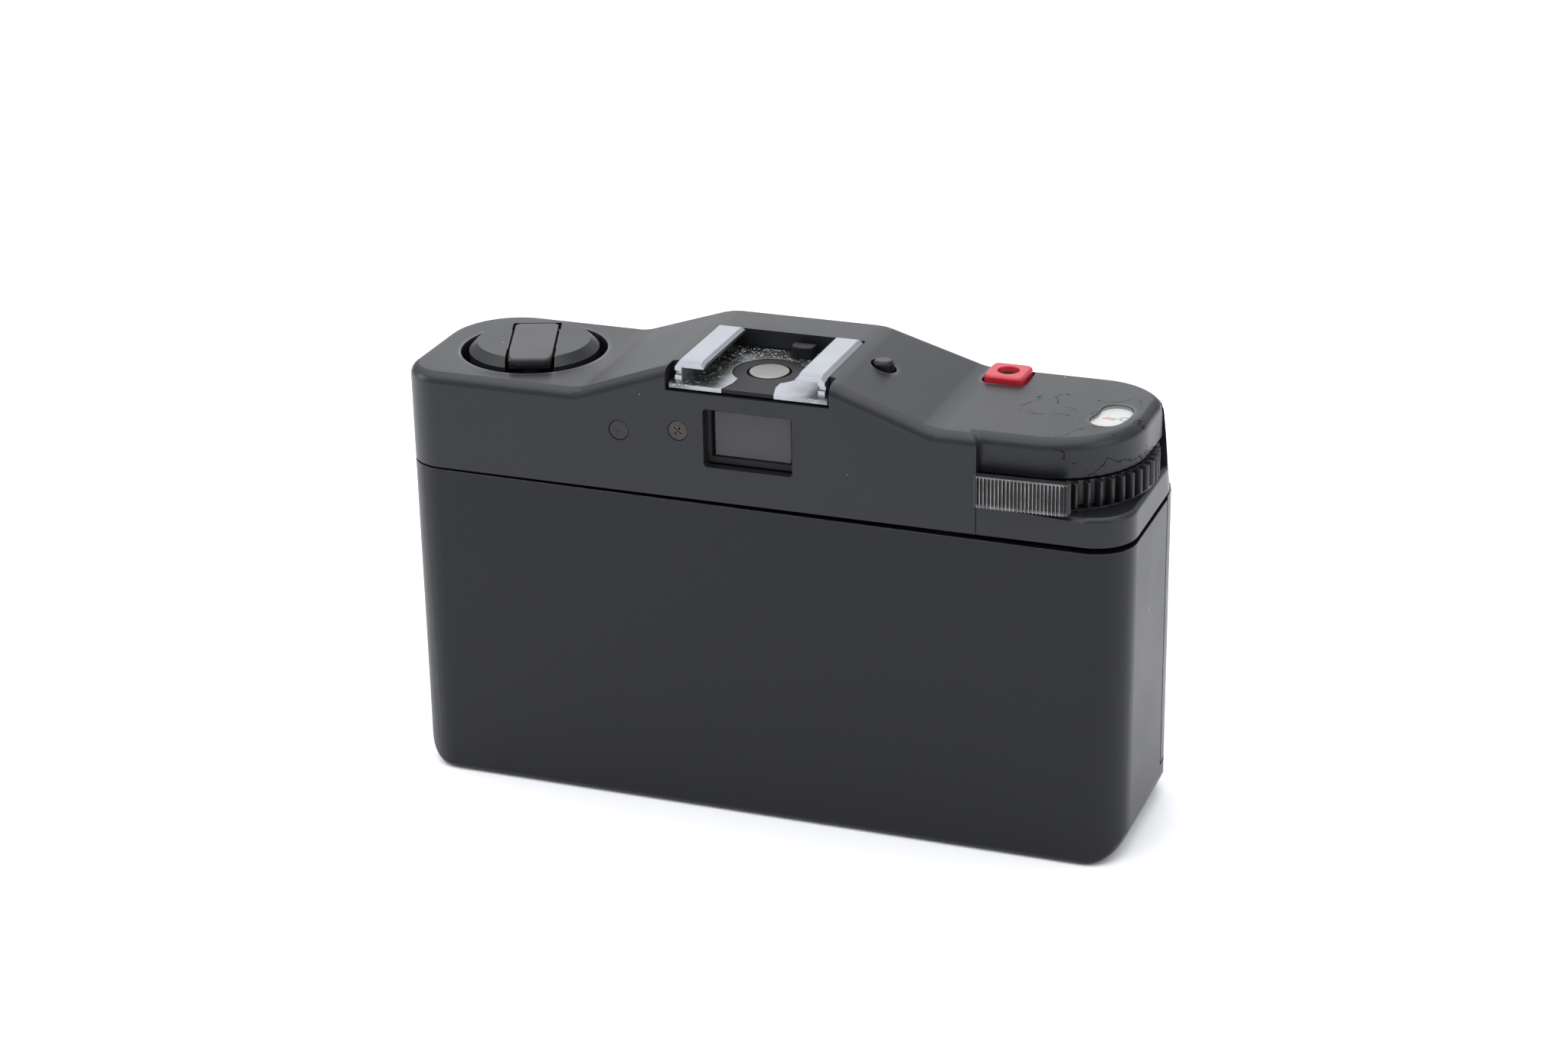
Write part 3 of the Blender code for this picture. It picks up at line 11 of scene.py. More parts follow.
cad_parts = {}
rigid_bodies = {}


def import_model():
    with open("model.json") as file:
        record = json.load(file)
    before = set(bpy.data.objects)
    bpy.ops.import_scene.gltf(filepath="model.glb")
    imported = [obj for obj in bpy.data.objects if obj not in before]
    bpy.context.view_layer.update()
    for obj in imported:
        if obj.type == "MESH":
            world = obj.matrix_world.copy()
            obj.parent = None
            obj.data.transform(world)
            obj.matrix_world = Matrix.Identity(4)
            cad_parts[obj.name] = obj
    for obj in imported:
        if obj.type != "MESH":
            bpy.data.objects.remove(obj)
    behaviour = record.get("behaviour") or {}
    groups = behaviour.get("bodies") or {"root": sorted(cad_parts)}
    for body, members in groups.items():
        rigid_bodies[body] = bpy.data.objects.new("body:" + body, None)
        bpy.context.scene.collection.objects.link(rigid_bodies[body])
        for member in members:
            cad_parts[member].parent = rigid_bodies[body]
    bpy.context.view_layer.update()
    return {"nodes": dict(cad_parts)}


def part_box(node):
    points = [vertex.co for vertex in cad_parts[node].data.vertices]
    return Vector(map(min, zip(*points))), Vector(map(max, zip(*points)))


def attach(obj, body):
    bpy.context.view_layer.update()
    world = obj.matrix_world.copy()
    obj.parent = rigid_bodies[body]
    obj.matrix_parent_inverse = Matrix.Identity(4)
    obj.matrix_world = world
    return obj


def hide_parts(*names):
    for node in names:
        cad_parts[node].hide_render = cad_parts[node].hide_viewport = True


for old in list(bpy.data.objects):
    bpy.data.objects.remove(old)
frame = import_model()

# ---- studio ---------------------------------------------------------------------------------
# The camera stands on a seamless white table under a large overhead light tent.
# Everything here is staging and belongs to no body.
VIEW_AZIMUTH, VIEW_HEIGHT, VIEW_ROLL = 200.637, 22.6, -1.02
VIEW_TARGET, VIEW_DISTANCE = Vector((0.00119, 0.00025, 0.0364)), 0.4613
VIEW_LENS, VIEW_SENSOR = 78.97, 36.0

scene = bpy.context.scene
azimuth, height = math.radians(VIEW_AZIMUTH), math.radians(VIEW_HEIGHT)
towards = Vector((math.sin(azimuth) * math.cos(height), -math.cos(azimuth) * math.cos(height),
                  math.sin(height)))
lens = bpy.data.cameras.new("view")
lens.lens, lens.sensor_width, lens.clip_start = VIEW_LENS, VIEW_SENSOR, 0.01
view = bpy.data.objects.new("view", lens)
scene.collection.objects.link(view)
view.location = VIEW_TARGET + towards * VIEW_DISTANCE
facing = (-towards).to_track_quat("-Z", "Y").to_matrix().to_4x4()
facing = facing @ Matrix.Rotation(math.radians(VIEW_ROLL), 4, "Z")
view.rotation_euler = facing.to_euler()
scene.camera = view

sky = bpy.data.worlds.new("tent")
scene.world = sky
sky.use_nodes = True
sky_tree = sky.node_tree
backdrop = sky_tree.nodes["Background"]
backdrop.inputs["Color"].default_value = (0.95, 0.965, 1.0, 1)
heading = sky_tree.nodes.new("ShaderNodeSeparateXYZ")
horizon = sky_tree.nodes.new("ShaderNodeMapRange")
for label, value in (("From Min", 0.02), ("From Max", 0.3), ("To Min", 0.1), ("To Max", 0.9)):
    horizon.inputs[label].default_value = value
sky_tree.links.new(sky_tree.nodes.new("ShaderNodeTexCoord").outputs["Generated"], heading.inputs[0])
sky_tree.links.new(heading.outputs["Z"], horizon.inputs["Value"])
sky_tree.links.new(horizon.outputs["Result"], backdrop.inputs["Strength"])
scene.view_settings.view_transform = "Standard"


def soft_light(name, place, aim, size, power):
    """A square area light aimed at a point."""
    lamp = bpy.data.lights.new(name, "AREA")
    lamp.shape, lamp.size, lamp.energy = "SQUARE", size, power
    lamp.color = (0.97, 0.98, 1.0)
    holder = bpy.data.objects.new(name, lamp)
    scene.collection.objects.link(holder)
    holder.location = place
    holder.rotation_euler = (Vector(aim) - Vector(place)).to_track_quat("-Z", "Y").to_euler()


soft_light("overhead", (0.15, 0.1, 1.5), (0, 0, 0.02), 2.4, 36.0)
soft_light("far_side", (0.29, -0.78, 0.38), (0, 0, 0.03), 0.6, 0.8)
soft_light("wheel_side", (-0.8, 0.2, 0.35), (0, 0, 0.03), 0.5, 1.2)
soft_light("knob_side", (0.9, 0.25, 0.3), (0, 0, 0.03), 0.4, 2.4)


def new_finish(name):
    """A new material, with its node tree and its shader."""
    made = bpy.data.materials.new(name)
    made.use_nodes = True
    return made, made.node_tree, made.node_tree.nodes["Principled BSDF"]


bpy.ops.mesh.primitive_plane_add(size=60, location=(0, 0, -0.0002))
table = bpy.context.object
table.name = "table"
paper, tree, shader = new_finish("white_paper")
shader.inputs["Base Color"].default_value = (0.9, 0.9, 0.91, 1)
shader.inputs["Roughness"].default_value = 0.6
table.data.materials.append(paper)


# ---- top housing ----------------------------------------------------------------------------
# One moulded shell, painted satin black: flat shoulders, a raised hump over the viewfinder, a round
# well for the rewind knob, and a hood set back over the rim of the advance wheel.
MM = 0.001
HALF_WIDTH, HALF_DEPTH = 50.0, 15.5
SEAM, SHOULDER, HUMP, ROOF = 44.8, 58.0, 62.8, 56.5
HUMP_FOOT, HUMP_HALF_TOP, EYE_X = 24.3, 10.8, 0.3
FRONT_ROUND, REAR_ROUND = 9.5, 5.6
LEAN_FROM, LEAN = 42.8, 0.322
SHELL_WALL, INNER_REAR = 1.4, 14.1
KNOB_CENTRE, WHEEL_CENTRE = (35.9, 2.1), (-37.0, 2.1)
RELEASE_CENTRE, CHECK_CENTRE = (-27.9, -6.7), (-14.2, 3.6)
HOOD_ROUND, HOOD_START, HOOD_UNDER, HOOD_FRONT, DECK = 12.2, -30.4, 53.0, -5.1, 48.8
BEYOND = 30  # a place clear of the body, where cutters end


def pick_nothing():
    bpy.ops.object.select_all(action="DESELECT")


def activate(piece):
    pick_nothing()
    piece.select_set(True)
    bpy.context.view_layer.objects.active = piece


def open_edit(piece):
    """Edit mode on a piece, with everything selected."""
    activate(piece)
    bpy.ops.object.mode_set(mode="EDIT")
    bpy.ops.mesh.select_all(action="SELECT")


def close_edit():
    bpy.ops.object.mode_set(mode="OBJECT")


def settle(piece, name):
    """Name a new object and move its place, turn and size into its mesh."""
    piece.name = piece.data.name = name
    activate(piece)
    bpy.ops.object.transform_apply(location=True, rotation=True, scale=True)
    return piece


def cuboid(name, low, high):
    """A cuboid between two corners, in millimetres."""
    pick_nothing()
    middle = [(a + b) / 2 * MM for a, b in zip(low, high)]
    size = [(b - a) * MM for a, b in zip(low, high)]
    bpy.ops.mesh.primitive_cube_add(size=1, location=middle, scale=size)
    return settle(bpy.context.object, name)


def drum(name, radius, low, high, centre, axis="Z", steps=96):
    """A cylinder between two heights along an axis through a centre given in the other two."""
    pick_nothing()
    middle = (low + high) / 2
    place = {"Z": (*centre, middle), "Y": (centre[0], middle, centre[1]), "X": (middle, *centre)}[axis]
    turn = {"Z": (0, 0, 0), "Y": (math.pi / 2, 0, 0), "X": (0, math.pi / 2, 0)}[axis]
    bpy.ops.mesh.primitive_cylinder_add(vertices=steps, radius=radius * MM, depth=(high - low) * MM,
                                        location=[a * MM for a in place], rotation=turn)
    return settle(bpy.context.object, name)


def apply_all(piece):
    activate(piece)
    for modifier in list(piece.modifiers):
        bpy.ops.object.modifier_apply(modifier=modifier.name)


def shape(piece, *tools, operation="DIFFERENCE"):
    """Cut, join or trim a piece with other objects in turn, which are used up."""
    for tool in tools:
        step = piece.modifiers.new(operation, "BOOLEAN")
        step.operation, step.solver, step.object = operation, "EXACT", tool
        apply_all(piece)
        bpy.data.objects.remove(tool)


def extrude_outline(name, outline, low, high, axis="Z"):
    """A flat outline as one filled face, extruded along an axis."""
    order = {"Z": lambda a, b: (a, b, low), "Y": lambda a, b: (a, low, b), "X": lambda a, b: (low, a, b)}
    mesh = bpy.data.meshes.new(name)
    points = [[c * MM for c in order[axis](a, b)] for a, b in outline]
    mesh.from_pydata(points, [], [list(range(len(points)))])
    piece = bpy.data.objects.new(name, mesh)
    scene.collection.objects.link(piece)
    open_edit(piece)
    length = (high - low) * MM
    move = {"Z": (0, 0, length), "Y": (0, length, 0), "X": (length, 0, 0)}[axis]
    bpy.ops.mesh.extrude_region_move(TRANSFORM_OT_translate={"value": move})
    bpy.ops.mesh.select_all(action="SELECT")
    bpy.ops.mesh.normals_make_consistent(inside=False)
    close_edit()
    return piece


def bisect(place, normal, drop=False):
    """In edit mode, split all of a piece along a plane, and drop what lies past it if asked."""
    bpy.ops.mesh.select_all(action="SELECT")
    bpy.ops.mesh.bisect(plane_co=[c * MM for c in place], plane_no=normal, clear_outer=drop,
                        use_fill=drop)


def lower_verts(piece, wanted, fall):
    """In edit mode, lower the vertices for which wanted(their place) is true."""
    tool = bmesh.from_edit_mesh(piece.data)
    for vert in tool.verts:
        vert.select = wanted(vert.co / MM)
    tool.select_flush(True)
    bmesh.update_edit_mesh(piece.data)
    bpy.ops.transform.translate(value=(0, 0, -fall * MM))


def middle_of(edge):
    return (edge.verts[0].co + edge.verts[1].co) / 2 / MM


def bevel_edges(piece, wanted, width, segments):
    """Bevel the edges for which wanted(edge) is true."""
    activate(piece)
    bpy.ops.object.mode_set(mode="EDIT")
    bpy.ops.mesh.select_mode(type="EDGE")
    tool = bmesh.from_edit_mesh(piece.data)
    for face in tool.faces:
        face.select = False
    for edge in tool.edges:
        edge.select = len(edge.link_faces) == 2 and wanted(edge)
    bmesh.update_edit_mesh(piece.data)
    bpy.ops.mesh.bevel(offset=width * MM, segments=segments, profile=0.5, affect="EDGES",
                       clamp_overlap=False)
    close_edit()


def bevel_rim(piece, width, segments, axis=2, above=-999, below=999):
    """Bevel a piece's sharp edges past a level on an axis."""
    bevel_edges(piece, lambda edge: above < middle_of(edge)[axis] < below
                and edge.calc_face_angle() > 1.0, width, segments)


def runs_along(edge, axis=2):
    """Whether an edge runs along an axis for more than a millimetre."""
    return abs(edge.verts[0].co[axis] - edge.verts[1].co[axis]) > MM


def soften(piece, width=0.18, segments=2, angle=32, smooth=32):
    """Break every remaining sharp edge with a small round, and shade the piece smooth."""
    clean = piece.modifiers.new("weld", "WELD")
    clean.merge_threshold = 2e-6
    if width:
        edge = piece.modifiers.new("soft_edges", "BEVEL")
        edge.width, edge.segments, edge.limit_method = width * MM, segments, "ANGLE"
        edge.angle_limit = math.radians(angle)
        edge.use_clamp_overlap = True
        edge.miter_outer = "MITER_ARC"
    apply_all(piece)
    activate(piece)
    bpy.ops.object.shade_smooth_by_angle(angle=math.radians(smooth))
    weigh = piece.modifiers.new("weigh", "WEIGHTED_NORMAL")
    weigh.keep_sharp, weigh.weight = True, 60
    apply_all(piece)


def lean_y(level):
    """The front face's place along Y at a height."""
    return -HALF_DEPTH + max(0.0, level - LEAN_FROM) * LEAN


cover = cuboid("top_housing", (-HALF_WIDTH, -HALF_DEPTH, SEAM), (HALF_WIDTH, HALF_DEPTH, HUMP))
open_edit(cover)
for x in (-HUMP_FOOT, EYE_X - HUMP_HALF_TOP, EYE_X + HUMP_HALF_TOP, HUMP_FOOT):
    bisect((x, 0, 0), (1, 0, 0))
bpy.ops.mesh.select_all(action="DESELECT")
lower_verts(cover, lambda at: at.z > HUMP - 1 and abs(at.x) > HUMP_FOOT - 0.1, HUMP - SHOULDER)
close_edit()
open_edit(cover)
bisect((0, -HALF_DEPTH, LEAN_FROM), (0, -1, LEAN), drop=True)
close_edit()


def on_corner(edge, at_front):
    """Whether an edge stands at an outer corner of the housing."""
    at = middle_of(edge)
    face = lean_y(at.z) if at_front else HALF_DEPTH
    return runs_along(edge) and abs(abs(at.x) - HALF_WIDTH) < 0.01 and abs(at.y - face) < 0.02


bevel_edges(cover, lambda edge: on_corner(edge, True), FRONT_ROUND, 16)
bevel_edges(cover, lambda edge: on_corner(edge, False), REAR_ROUND, 12)


def on_circle(centre, radius, degrees):
    """The point at an angle on a circle."""
    angle = math.radians(degrees)
    return centre[0] + radius * math.cos(angle), centre[1] + radius * math.sin(angle)


def wheel_arc(radius, start, end, steps):
    """Points on an arc round the wheel's axis."""
    return [on_circle(WHEEL_CENTRE, radius, start + (end - start) * k / steps) for k in range(steps + 1)]


around_hood = [(HOOD_START, WHEEL_CENTRE[1] + HOOD_ROUND), *wheel_arc(HOOD_ROUND, 90, 180, 26)[1:],
               (WHEEL_CENTRE[0] - HOOD_ROUND, HOOD_FRONT), (-60, HOOD_FRONT), (-60, BEYOND),
               (HOOD_START, BEYOND)]
shape(cover, extrude_outline("hood_side", around_hood, HOOD_UNDER - 0.2, HUMP + 5))
bevel_edges(cover, lambda edge: middle_of(edge).z > SHOULDER - 1.5
            and edge.calc_face_angle() > math.radians(12), 1.5, 6)

# the wells, rooms and windows of the housing
SHOE_FRONT, SHOE_REAR, SHOE_HALF, SHOE_FLOOR = -1.1, 15.1, 11.1, 60.4
SHOE_WAIST, SHOE_STEP, SHOE_GAP, SHOE_BED = 10.25, 12.6, 0.08, 0.9
EYE_Z, EYE_HALF_X, EYE_HALF_Z = 53.5, 6.1, 4.0
FLAP_HALF, FLAP_THICK, FLAP_TOP, FLAP_SHOULDER, FLAP_GAP = 25.0, 1.8, 60.2, 55.0, 0.3
CASSETTE_ROOM, KNOB_WELL, WHEEL_ROOM = 12.6, 9.9, 13.7


def flap_front(margin):
    """The folding front's outline from the side of the lens."""
    half, top = FLAP_HALF + margin, 9.8 + margin / 2
    return [(-half, 1.5 - margin), (half, 1.5 - margin), (half, FLAP_SHOULDER + margin / 2),
            (EYE_X + top, FLAP_TOP + margin), (EYE_X - top, FLAP_TOP + margin),
            (-half, FLAP_SHOULDER + margin / 2)]


def leaning_slab(name, outer, inner):
    """A slab that follows the upright and the leaning front, between two depths."""
    lean_length = math.hypot(1.0, LEAN)
    shift = (lean_length - 1.0) / LEAN
    outline = []
    for depth, levels in ((outer, (-5, LEAN_FROM, 72)), (inner, (72, LEAN_FROM, -5))):
        for level in levels:
            at = lean_y(level) + depth * (lean_length if level > LEAN_FROM else 1.0)
            outline.append((at, level - depth * shift if level == LEAN_FROM else level))
    return extrude_outline(name, outline, -60, 60, axis="X")


flap_room = extrude_outline("flap_room", flap_front(FLAP_GAP), -25, 15, axis="Y")
shape(flap_room, leaning_slab("flap_room_depth", -9.0, FLAP_THICK + FLAP_GAP), operation="INTERSECT")
shape(cover, flap_room,
      cuboid("shoe_recess", (EYE_X - SHOE_WAIST - SHOE_GAP, SHOE_FRONT - 0.3, SHOE_FLOOR - SHOE_BED),
             (EYE_X + SHOE_WAIST + SHOE_GAP, BEYOND, 70)),
      cuboid("shoe_step", (EYE_X - SHOE_HALF - SHOE_GAP, SHOE_STEP - 0.1, SHOE_FLOOR - SHOE_BED),
             (EYE_X + SHOE_HALF + SHOE_GAP, 31, 71)),
      drum("cassette_top", CASSETTE_ROOM, 30, 52, KNOB_CENTRE),
      drum("collar_bore", 4.2, 50, 56, KNOB_CENTRE, steps=48),
      drum("knob_well", KNOB_WELL, 54.2, 70, KNOB_CENTRE, steps=128),
      cuboid("middle_room", (-22.0, lean_y(ROOF) + 3.4, 40), (23.9, INNER_REAR, ROOF)),
      cuboid("finder_room", (EYE_X - 6.7, lean_y(57.9) + 3.2, 40), (EYE_X + 6.7, INNER_REAR, 57.9)),
      cuboid("deck_room", (-47.5, -10.5, 40), (-21.5, INNER_REAR, DECK - 0.9)),
      drum("hood_room", HOOD_ROUND - SHELL_WALL, HOOD_UNDER - 1, ROOF, WHEEL_CENTRE),
      drum("release_room", 4.0, HOOD_UNDER - 1, ROOF, RELEASE_CENTRE, steps=48),
      extrude_outline("wheel_room", [
          (HOOD_START, BEYOND), (-70, BEYOND), (-70, HOOD_FRONT),
          *wheel_arc(WHEEL_ROOM, 180 + 31.71, 360 + 61.20, 40)], DECK, HOOD_UNDER),
      cuboid("hood_groove", (-60, HOOD_FRONT - 0.05, HOOD_UNDER - 0.5),
             (-48.4, HOOD_FRONT + 0.45, 57.3)))


def on_deck_edge(edge):
    """Whether an edge is on the outside corner of the deck under the wheel."""
    at = middle_of(edge)
    return (abs(at.z - DECK) < 0.01 and at.x < HOOD_START - 0.2 and at.y > -5
            and (at.y > 15.4 or at.x < -44.3) and (at.xy - Vector(WHEEL_CENTRE)).length > 13)


bevel_edges(cover, on_deck_edge, 0.7, 4)
shape(cover, drum("wheel_ledge", 12.7, DECK - 0.4, DECK + 0.2, WHEEL_CENTRE), operation="UNION")
eye = cuboid("eye_opening", (EYE_X - EYE_HALF_X, 13, EYE_Z - EYE_HALF_Z),
             (EYE_X + EYE_HALF_X, 20, EYE_Z + EYE_HALF_Z))
bevel_edges(eye, lambda edge: runs_along(edge, 1), 0.5, 4)
release_hole = cuboid("release_hole", (RELEASE_CENTRE[0] - 3.05, RELEASE_CENTRE[1] - 3.05, ROOF - 2),
                      (RELEASE_CENTRE[0] + 3.05, RELEASE_CENTRE[1] + 3.05, 66))
bevel_edges(release_hole, runs_along, 1.1, 5)


def counter_slot(margin):
    """A slot bent round the wheel's axis, with round ends: the frame counter's window."""
    middle, wide, low, high = 7.75, 2.15 - margin, 159.0, 187.0
    points = wheel_arc(middle + wide, low, high, 14)
    for angle, start in ((high, high), (low, low + 180)):
        end = on_circle(WHEEL_CENTRE, middle, angle)
        points += [on_circle(end, wide, start + 15 * k) for k in range(1, 12)]
        if angle == high:
            points += wheel_arc(middle - wide, high, low, 14)
    return points


SCREWS, SCREW_HOLE = ((18.2, 53.2), (9.9, 54.1)), 1.4
shape(cover, drum("deck_bore", 3.4, 40, HOOD_UNDER, WHEEL_CENTRE, steps=48), eye,
      cuboid("finder_front", (EYE_X - 5.5, -25, EYE_Z - 3), (EYE_X + 5.5, 0, EYE_Z + 3)),
      drum("cell_front", 3.0, -25, 0, (13.5, EYE_Z - 1), axis="Y", steps=64), release_hole,
      drum("check_hole", 1.7, ROOF - 2, 66, CHECK_CENTRE, steps=48),
      extrude_outline("counter_hole", counter_slot(0), ROOF - 1, 66),
      cuboid("joint_line", (HOOD_START - 0.05, HALF_DEPTH - 0.25, SEAM - 1),
             (HOOD_START + 0.07, 20, DECK + 0.1)),
      *(drum("screw_hole", SCREW_HOLE, 13, 20, place, axis="Y", steps=40) for place in SCREWS))
soften(cover, width=0.16)


def link(tree, start, end):
    tree.links.new(start, end)


def add(tree, kind, **values):
    """A node with its input values set."""
    made = tree.nodes.new(kind)
    for key, value in values.items():
        made.inputs[key].default_value = value
    return made


def feed(tree, made, values):
    """Fill a node's first inputs with sockets or constants; None leaves one as it is."""
    for slot, value in enumerate(values):
        if isinstance(value, (int, float, tuple)):
            made.inputs[slot].default_value = value
        elif value is not None:
            link(tree, value, made.inputs[slot])
    return made


def calc(tree, operation, first, second=None, third=None, clamp=False):
    """A Math node fed by sockets or numbers; returns its output."""
    made = tree.nodes.new("ShaderNodeMath")
    made.operation, made.use_clamp = operation, clamp
    return feed(tree, made, (first, second, third)).outputs[0]


def times(tree, *factors, clamp=False):
    """The product of sockets and numbers."""
    product = factors[0]
    for factor in factors[1:-1]:
        product = calc(tree, "MULTIPLY", product, factor)
    return calc(tree, "MULTIPLY", product, factors[-1], clamp=clamp)


def vector_calc(tree, operation, *values):
    """A Vector Math node fed by sockets or tuples; returns its outputs."""
    made = tree.nodes.new("ShaderNodeVectorMath")
    made.operation = operation
    return feed(tree, made, values).outputs


def axes(tree, vector):
    """A vector's X, Y and Z."""
    return feed(tree, tree.nodes.new("ShaderNodeSeparateXYZ"), (vector,)).outputs


def object_place(tree):
    return tree.nodes.new("ShaderNodeTexCoord").outputs["Object"]


def noise(tree, place, scale, **values):
    """A Noise texture whose scale is a socket or a number."""
    made = add(tree, "ShaderNodeTexNoise", **values)
    link(tree, place, made.inputs["Vector"])
    if isinstance(scale, float):
        made.inputs["Scale"].default_value = scale
    else:
        link(tree, scale, made.inputs["Scale"])
    return made.outputs


def blend_colour(tree, mask, first, second):
    """Mix two colours, each a socket or a tuple, by a mask."""
    made = tree.nodes.new("ShaderNodeMix")
    made.data_type = "RGBA"
    link(tree, mask, made.inputs["Factor"])
    for slot, value in ((6, first), (7, second)):
        if isinstance(value, tuple):
            made.inputs[slot].default_value = (*value, 1)
        else:
            link(tree, value, made.inputs[slot])
    return made.outputs[2]


def ramp(tree, value, low, high):
    """Value stretched so that low gives 0 and high gives 1."""
    return feed(tree, tree.nodes.new("ShaderNodeMapRange"), (value, low, high)).outputs["Result"]


def effect(name, inputs, outputs):
    """A new shader node group with its sockets, and its input and output nodes."""
    group = bpy.data.node_groups.new(name, "ShaderNodeTree")
    for label, value in inputs.items():
        made = group.interface.new_socket(name=label, in_out="INPUT", socket_type="NodeSocketFloat")
        made.default_value = value
    for label in outputs:
        group.interface.new_socket(name=label, in_out="OUTPUT", socket_type="NodeSocketFloat")
    return group, group.nodes.new("NodeGroupInput").outputs, group.nodes.new("NodeGroupOutput").inputs


# moulded surface: soft blotches of handling and a fine pebble
moulded_surface, given, result = effect("moulded_surface", {"Blotch Size": 70.0, "Grain Size": 3200.0},
                                        ("Blotch", "Grain"))
place = object_place(moulded_surface)
blotch = noise(moulded_surface, place, given["Blotch Size"], Detail=4.0, Roughness=0.6)
grain = noise(moulded_surface, place, given["Grain Size"], Detail=3.0, Roughness=0.6)
link(moulded_surface, ramp(moulded_surface, blotch["Fac"], 0.3, 0.7), result["Blotch"])
link(moulded_surface, grain["Fac"], result["Grain"])

# edge wear and highlight: a mask where the surface turns within a radius, broken up by noise; on most
# finishes it marks worn edges, on the housing a painted highlight along the upper edges
edge_wear_and_highlight, given, result = effect("edge_wear_and_highlight", {"Radius": 0.0002, "Break": 900.0}, ("Mask",))
turned = edge_wear_and_highlight.nodes.new("ShaderNodeBevel")
turned.samples = 6
link(edge_wear_and_highlight, given["Radius"], turned.inputs["Radius"])
flat = edge_wear_and_highlight.nodes.new("ShaderNodeNewGeometry").outputs["Normal"]
compare = vector_calc(edge_wear_and_highlight, "DOT_PRODUCT", turned.outputs["Normal"], flat)
breaks = noise(edge_wear_and_highlight, object_place(edge_wear_and_highlight), given["Break"], Detail=3.0, Roughness=0.65)
edge = times(edge_wear_and_highlight, calc(edge_wear_and_highlight, "SUBTRACT", 1.0, compare["Value"]), 9.0, clamp=True)
broken = ramp(edge_wear_and_highlight, breaks["Fac"], 0.35, 0.55)
link(edge_wear_and_highlight, times(edge_wear_and_highlight, edge, broken, clamp=True), result["Mask"])

# dust: sparse pale specks of unlike sizes that settle on what faces up
settled_dust, given, result = effect(
    "settled_dust", {"Cells": 450.0, "Share": 0.1, "Speck": 0.12, "Sides": 0.2}, ("Mask",))
cells = settled_dust.nodes.new("ShaderNodeTexVoronoi")
link(settled_dust, object_place(settled_dust), cells.inputs["Vector"])
link(settled_dust, given["Cells"], cells.inputs["Scale"])
split = settled_dust.nodes.new("ShaderNodeSeparateColor")
link(settled_dust, cells.outputs["Color"], split.inputs["Color"])
chosen = calc(settled_dust, "LESS_THAN", split.outputs["Red"], given["Share"])
reach = times(settled_dust, given["Speck"], calc(settled_dust, "ADD", split.outputs["Green"], 0.4))
speck = calc(settled_dust, "LESS_THAN", cells.outputs["Distance"], reach)
facing_up = axes(settled_dust, settled_dust.nodes.new("ShaderNodeNewGeometry").outputs["Normal"])["Z"]
lying = calc(settled_dust, "MAXIMUM", facing_up, given["Sides"])
link(settled_dust, times(settled_dust, chosen, speck, lying, clamp=True), result["Mask"])


def place_group(tree, group, **values):
    """A node group's outputs, with its inputs set."""
    made = tree.nodes.new("ShaderNodeGroup")
    made.node_tree = group
    for label, value in values.items():
        made.inputs[label.replace("_", " ")].default_value = value
    return made.outputs


def bump(tree, shader, height):
    """Raise the surface by a height in metres."""
    made = add(tree, "ShaderNodeBump", Strength=1.0, Distance=1.0)
    link(tree, height, made.inputs["Height"])
    link(tree, made.outputs["Normal"], shader.inputs["Normal"])


def coat(name, colour, roughness, metallic=0.0, gloss=0.5, soft=0.0, tint=0.12, spread=0.06, grain=0.0,
         grain_size=3200.0, wear_and_highlight_colour=None, wear_and_highlight_roughness=0.3, worn_metal=0.0, wear_and_highlight_radius=0.0002,
         wear_and_highlight_break=900.0, highlight_where=None, dust=0.0, dust_colour=(0.55, 0.55, 0.53), speck=0.12,
         sides=0.2, cells=450.0, cracks=None):
    """A finish: base colour with blotches, a fine grain, lighter edges, dust and cracks. The lighter edges
    are wear on most finishes and a painted highlight on the housing.
    """
    made, tree, shader = new_finish(name)
    surface = place_group(tree, moulded_surface, Grain_Size=grain_size)
    pale = tuple(min(1.0, c * (1 + tint)) for c in colour)
    deep = tuple(c * (1 - tint) for c in colour)
    paint = blend_colour(tree, surface["Blotch"], deep, pale)
    rough = calc(tree, "MULTIPLY_ADD", surface["Blotch"], spread, roughness - spread / 2)
    height = times(tree, surface["Grain"], grain) if grain else None
    if cracks:
        crack_mask = cracks(tree)
        paint = blend_colour(tree, crack_mask, paint, (0.004, 0.004, 0.005))
        height = calc(tree, "SUBTRACT", height if height else 0.0, times(tree, crack_mask, 0.00008))
        dulled = calc(tree, "MULTIPLY_ADD", crack_mask, -gloss, gloss)
        link(tree, dulled, shader.inputs["Specular IOR Level"])
    # lighter edges: worn paint on most finishes, a painted highlight on the housing's upper edges
    if wear_and_highlight_colour:
        mask = place_group(tree, edge_wear_and_highlight, Radius=wear_and_highlight_radius, Break=wear_and_highlight_break)["Mask"]
        if highlight_where:
            mask = times(tree, mask, highlight_where(tree))
        paint = blend_colour(tree, mask, paint, wear_and_highlight_colour)
        rough = calc(tree, "MULTIPLY_ADD", mask, wear_and_highlight_roughness - roughness, rough)
        if worn_metal:
            link(tree, times(tree, mask, worn_metal), shader.inputs["Metallic"])
    if dust:
        mask = place_group(tree, settled_dust, Share=dust, Speck=speck, Sides=sides, Cells=cells)["Mask"]
        paint = blend_colour(tree, mask, paint, dust_colour)
        rough = calc(tree, "MULTIPLY_ADD", mask, 0.4, rough)
    link(tree, paint, shader.inputs["Base Color"])
    link(tree, rough, shader.inputs["Roughness"])
    if height:
        bump(tree, shader, height)
    for label, value, linked in (("Metallic", metallic, worn_metal), ("Subsurface Weight", soft, False),
                                 ("Specular IOR Level", gloss, cracks)):
        if not linked:
            shader.inputs[label].default_value = value
    return made


def dress(piece, material, body, *nodes):
    """Give a finished piece its material and its body, and hide the CAD nodes that it stands for."""
    piece.data.materials.clear()
    piece.data.materials.append(material)
    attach(piece, body)
    if nodes:
        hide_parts(*nodes)
    return piece


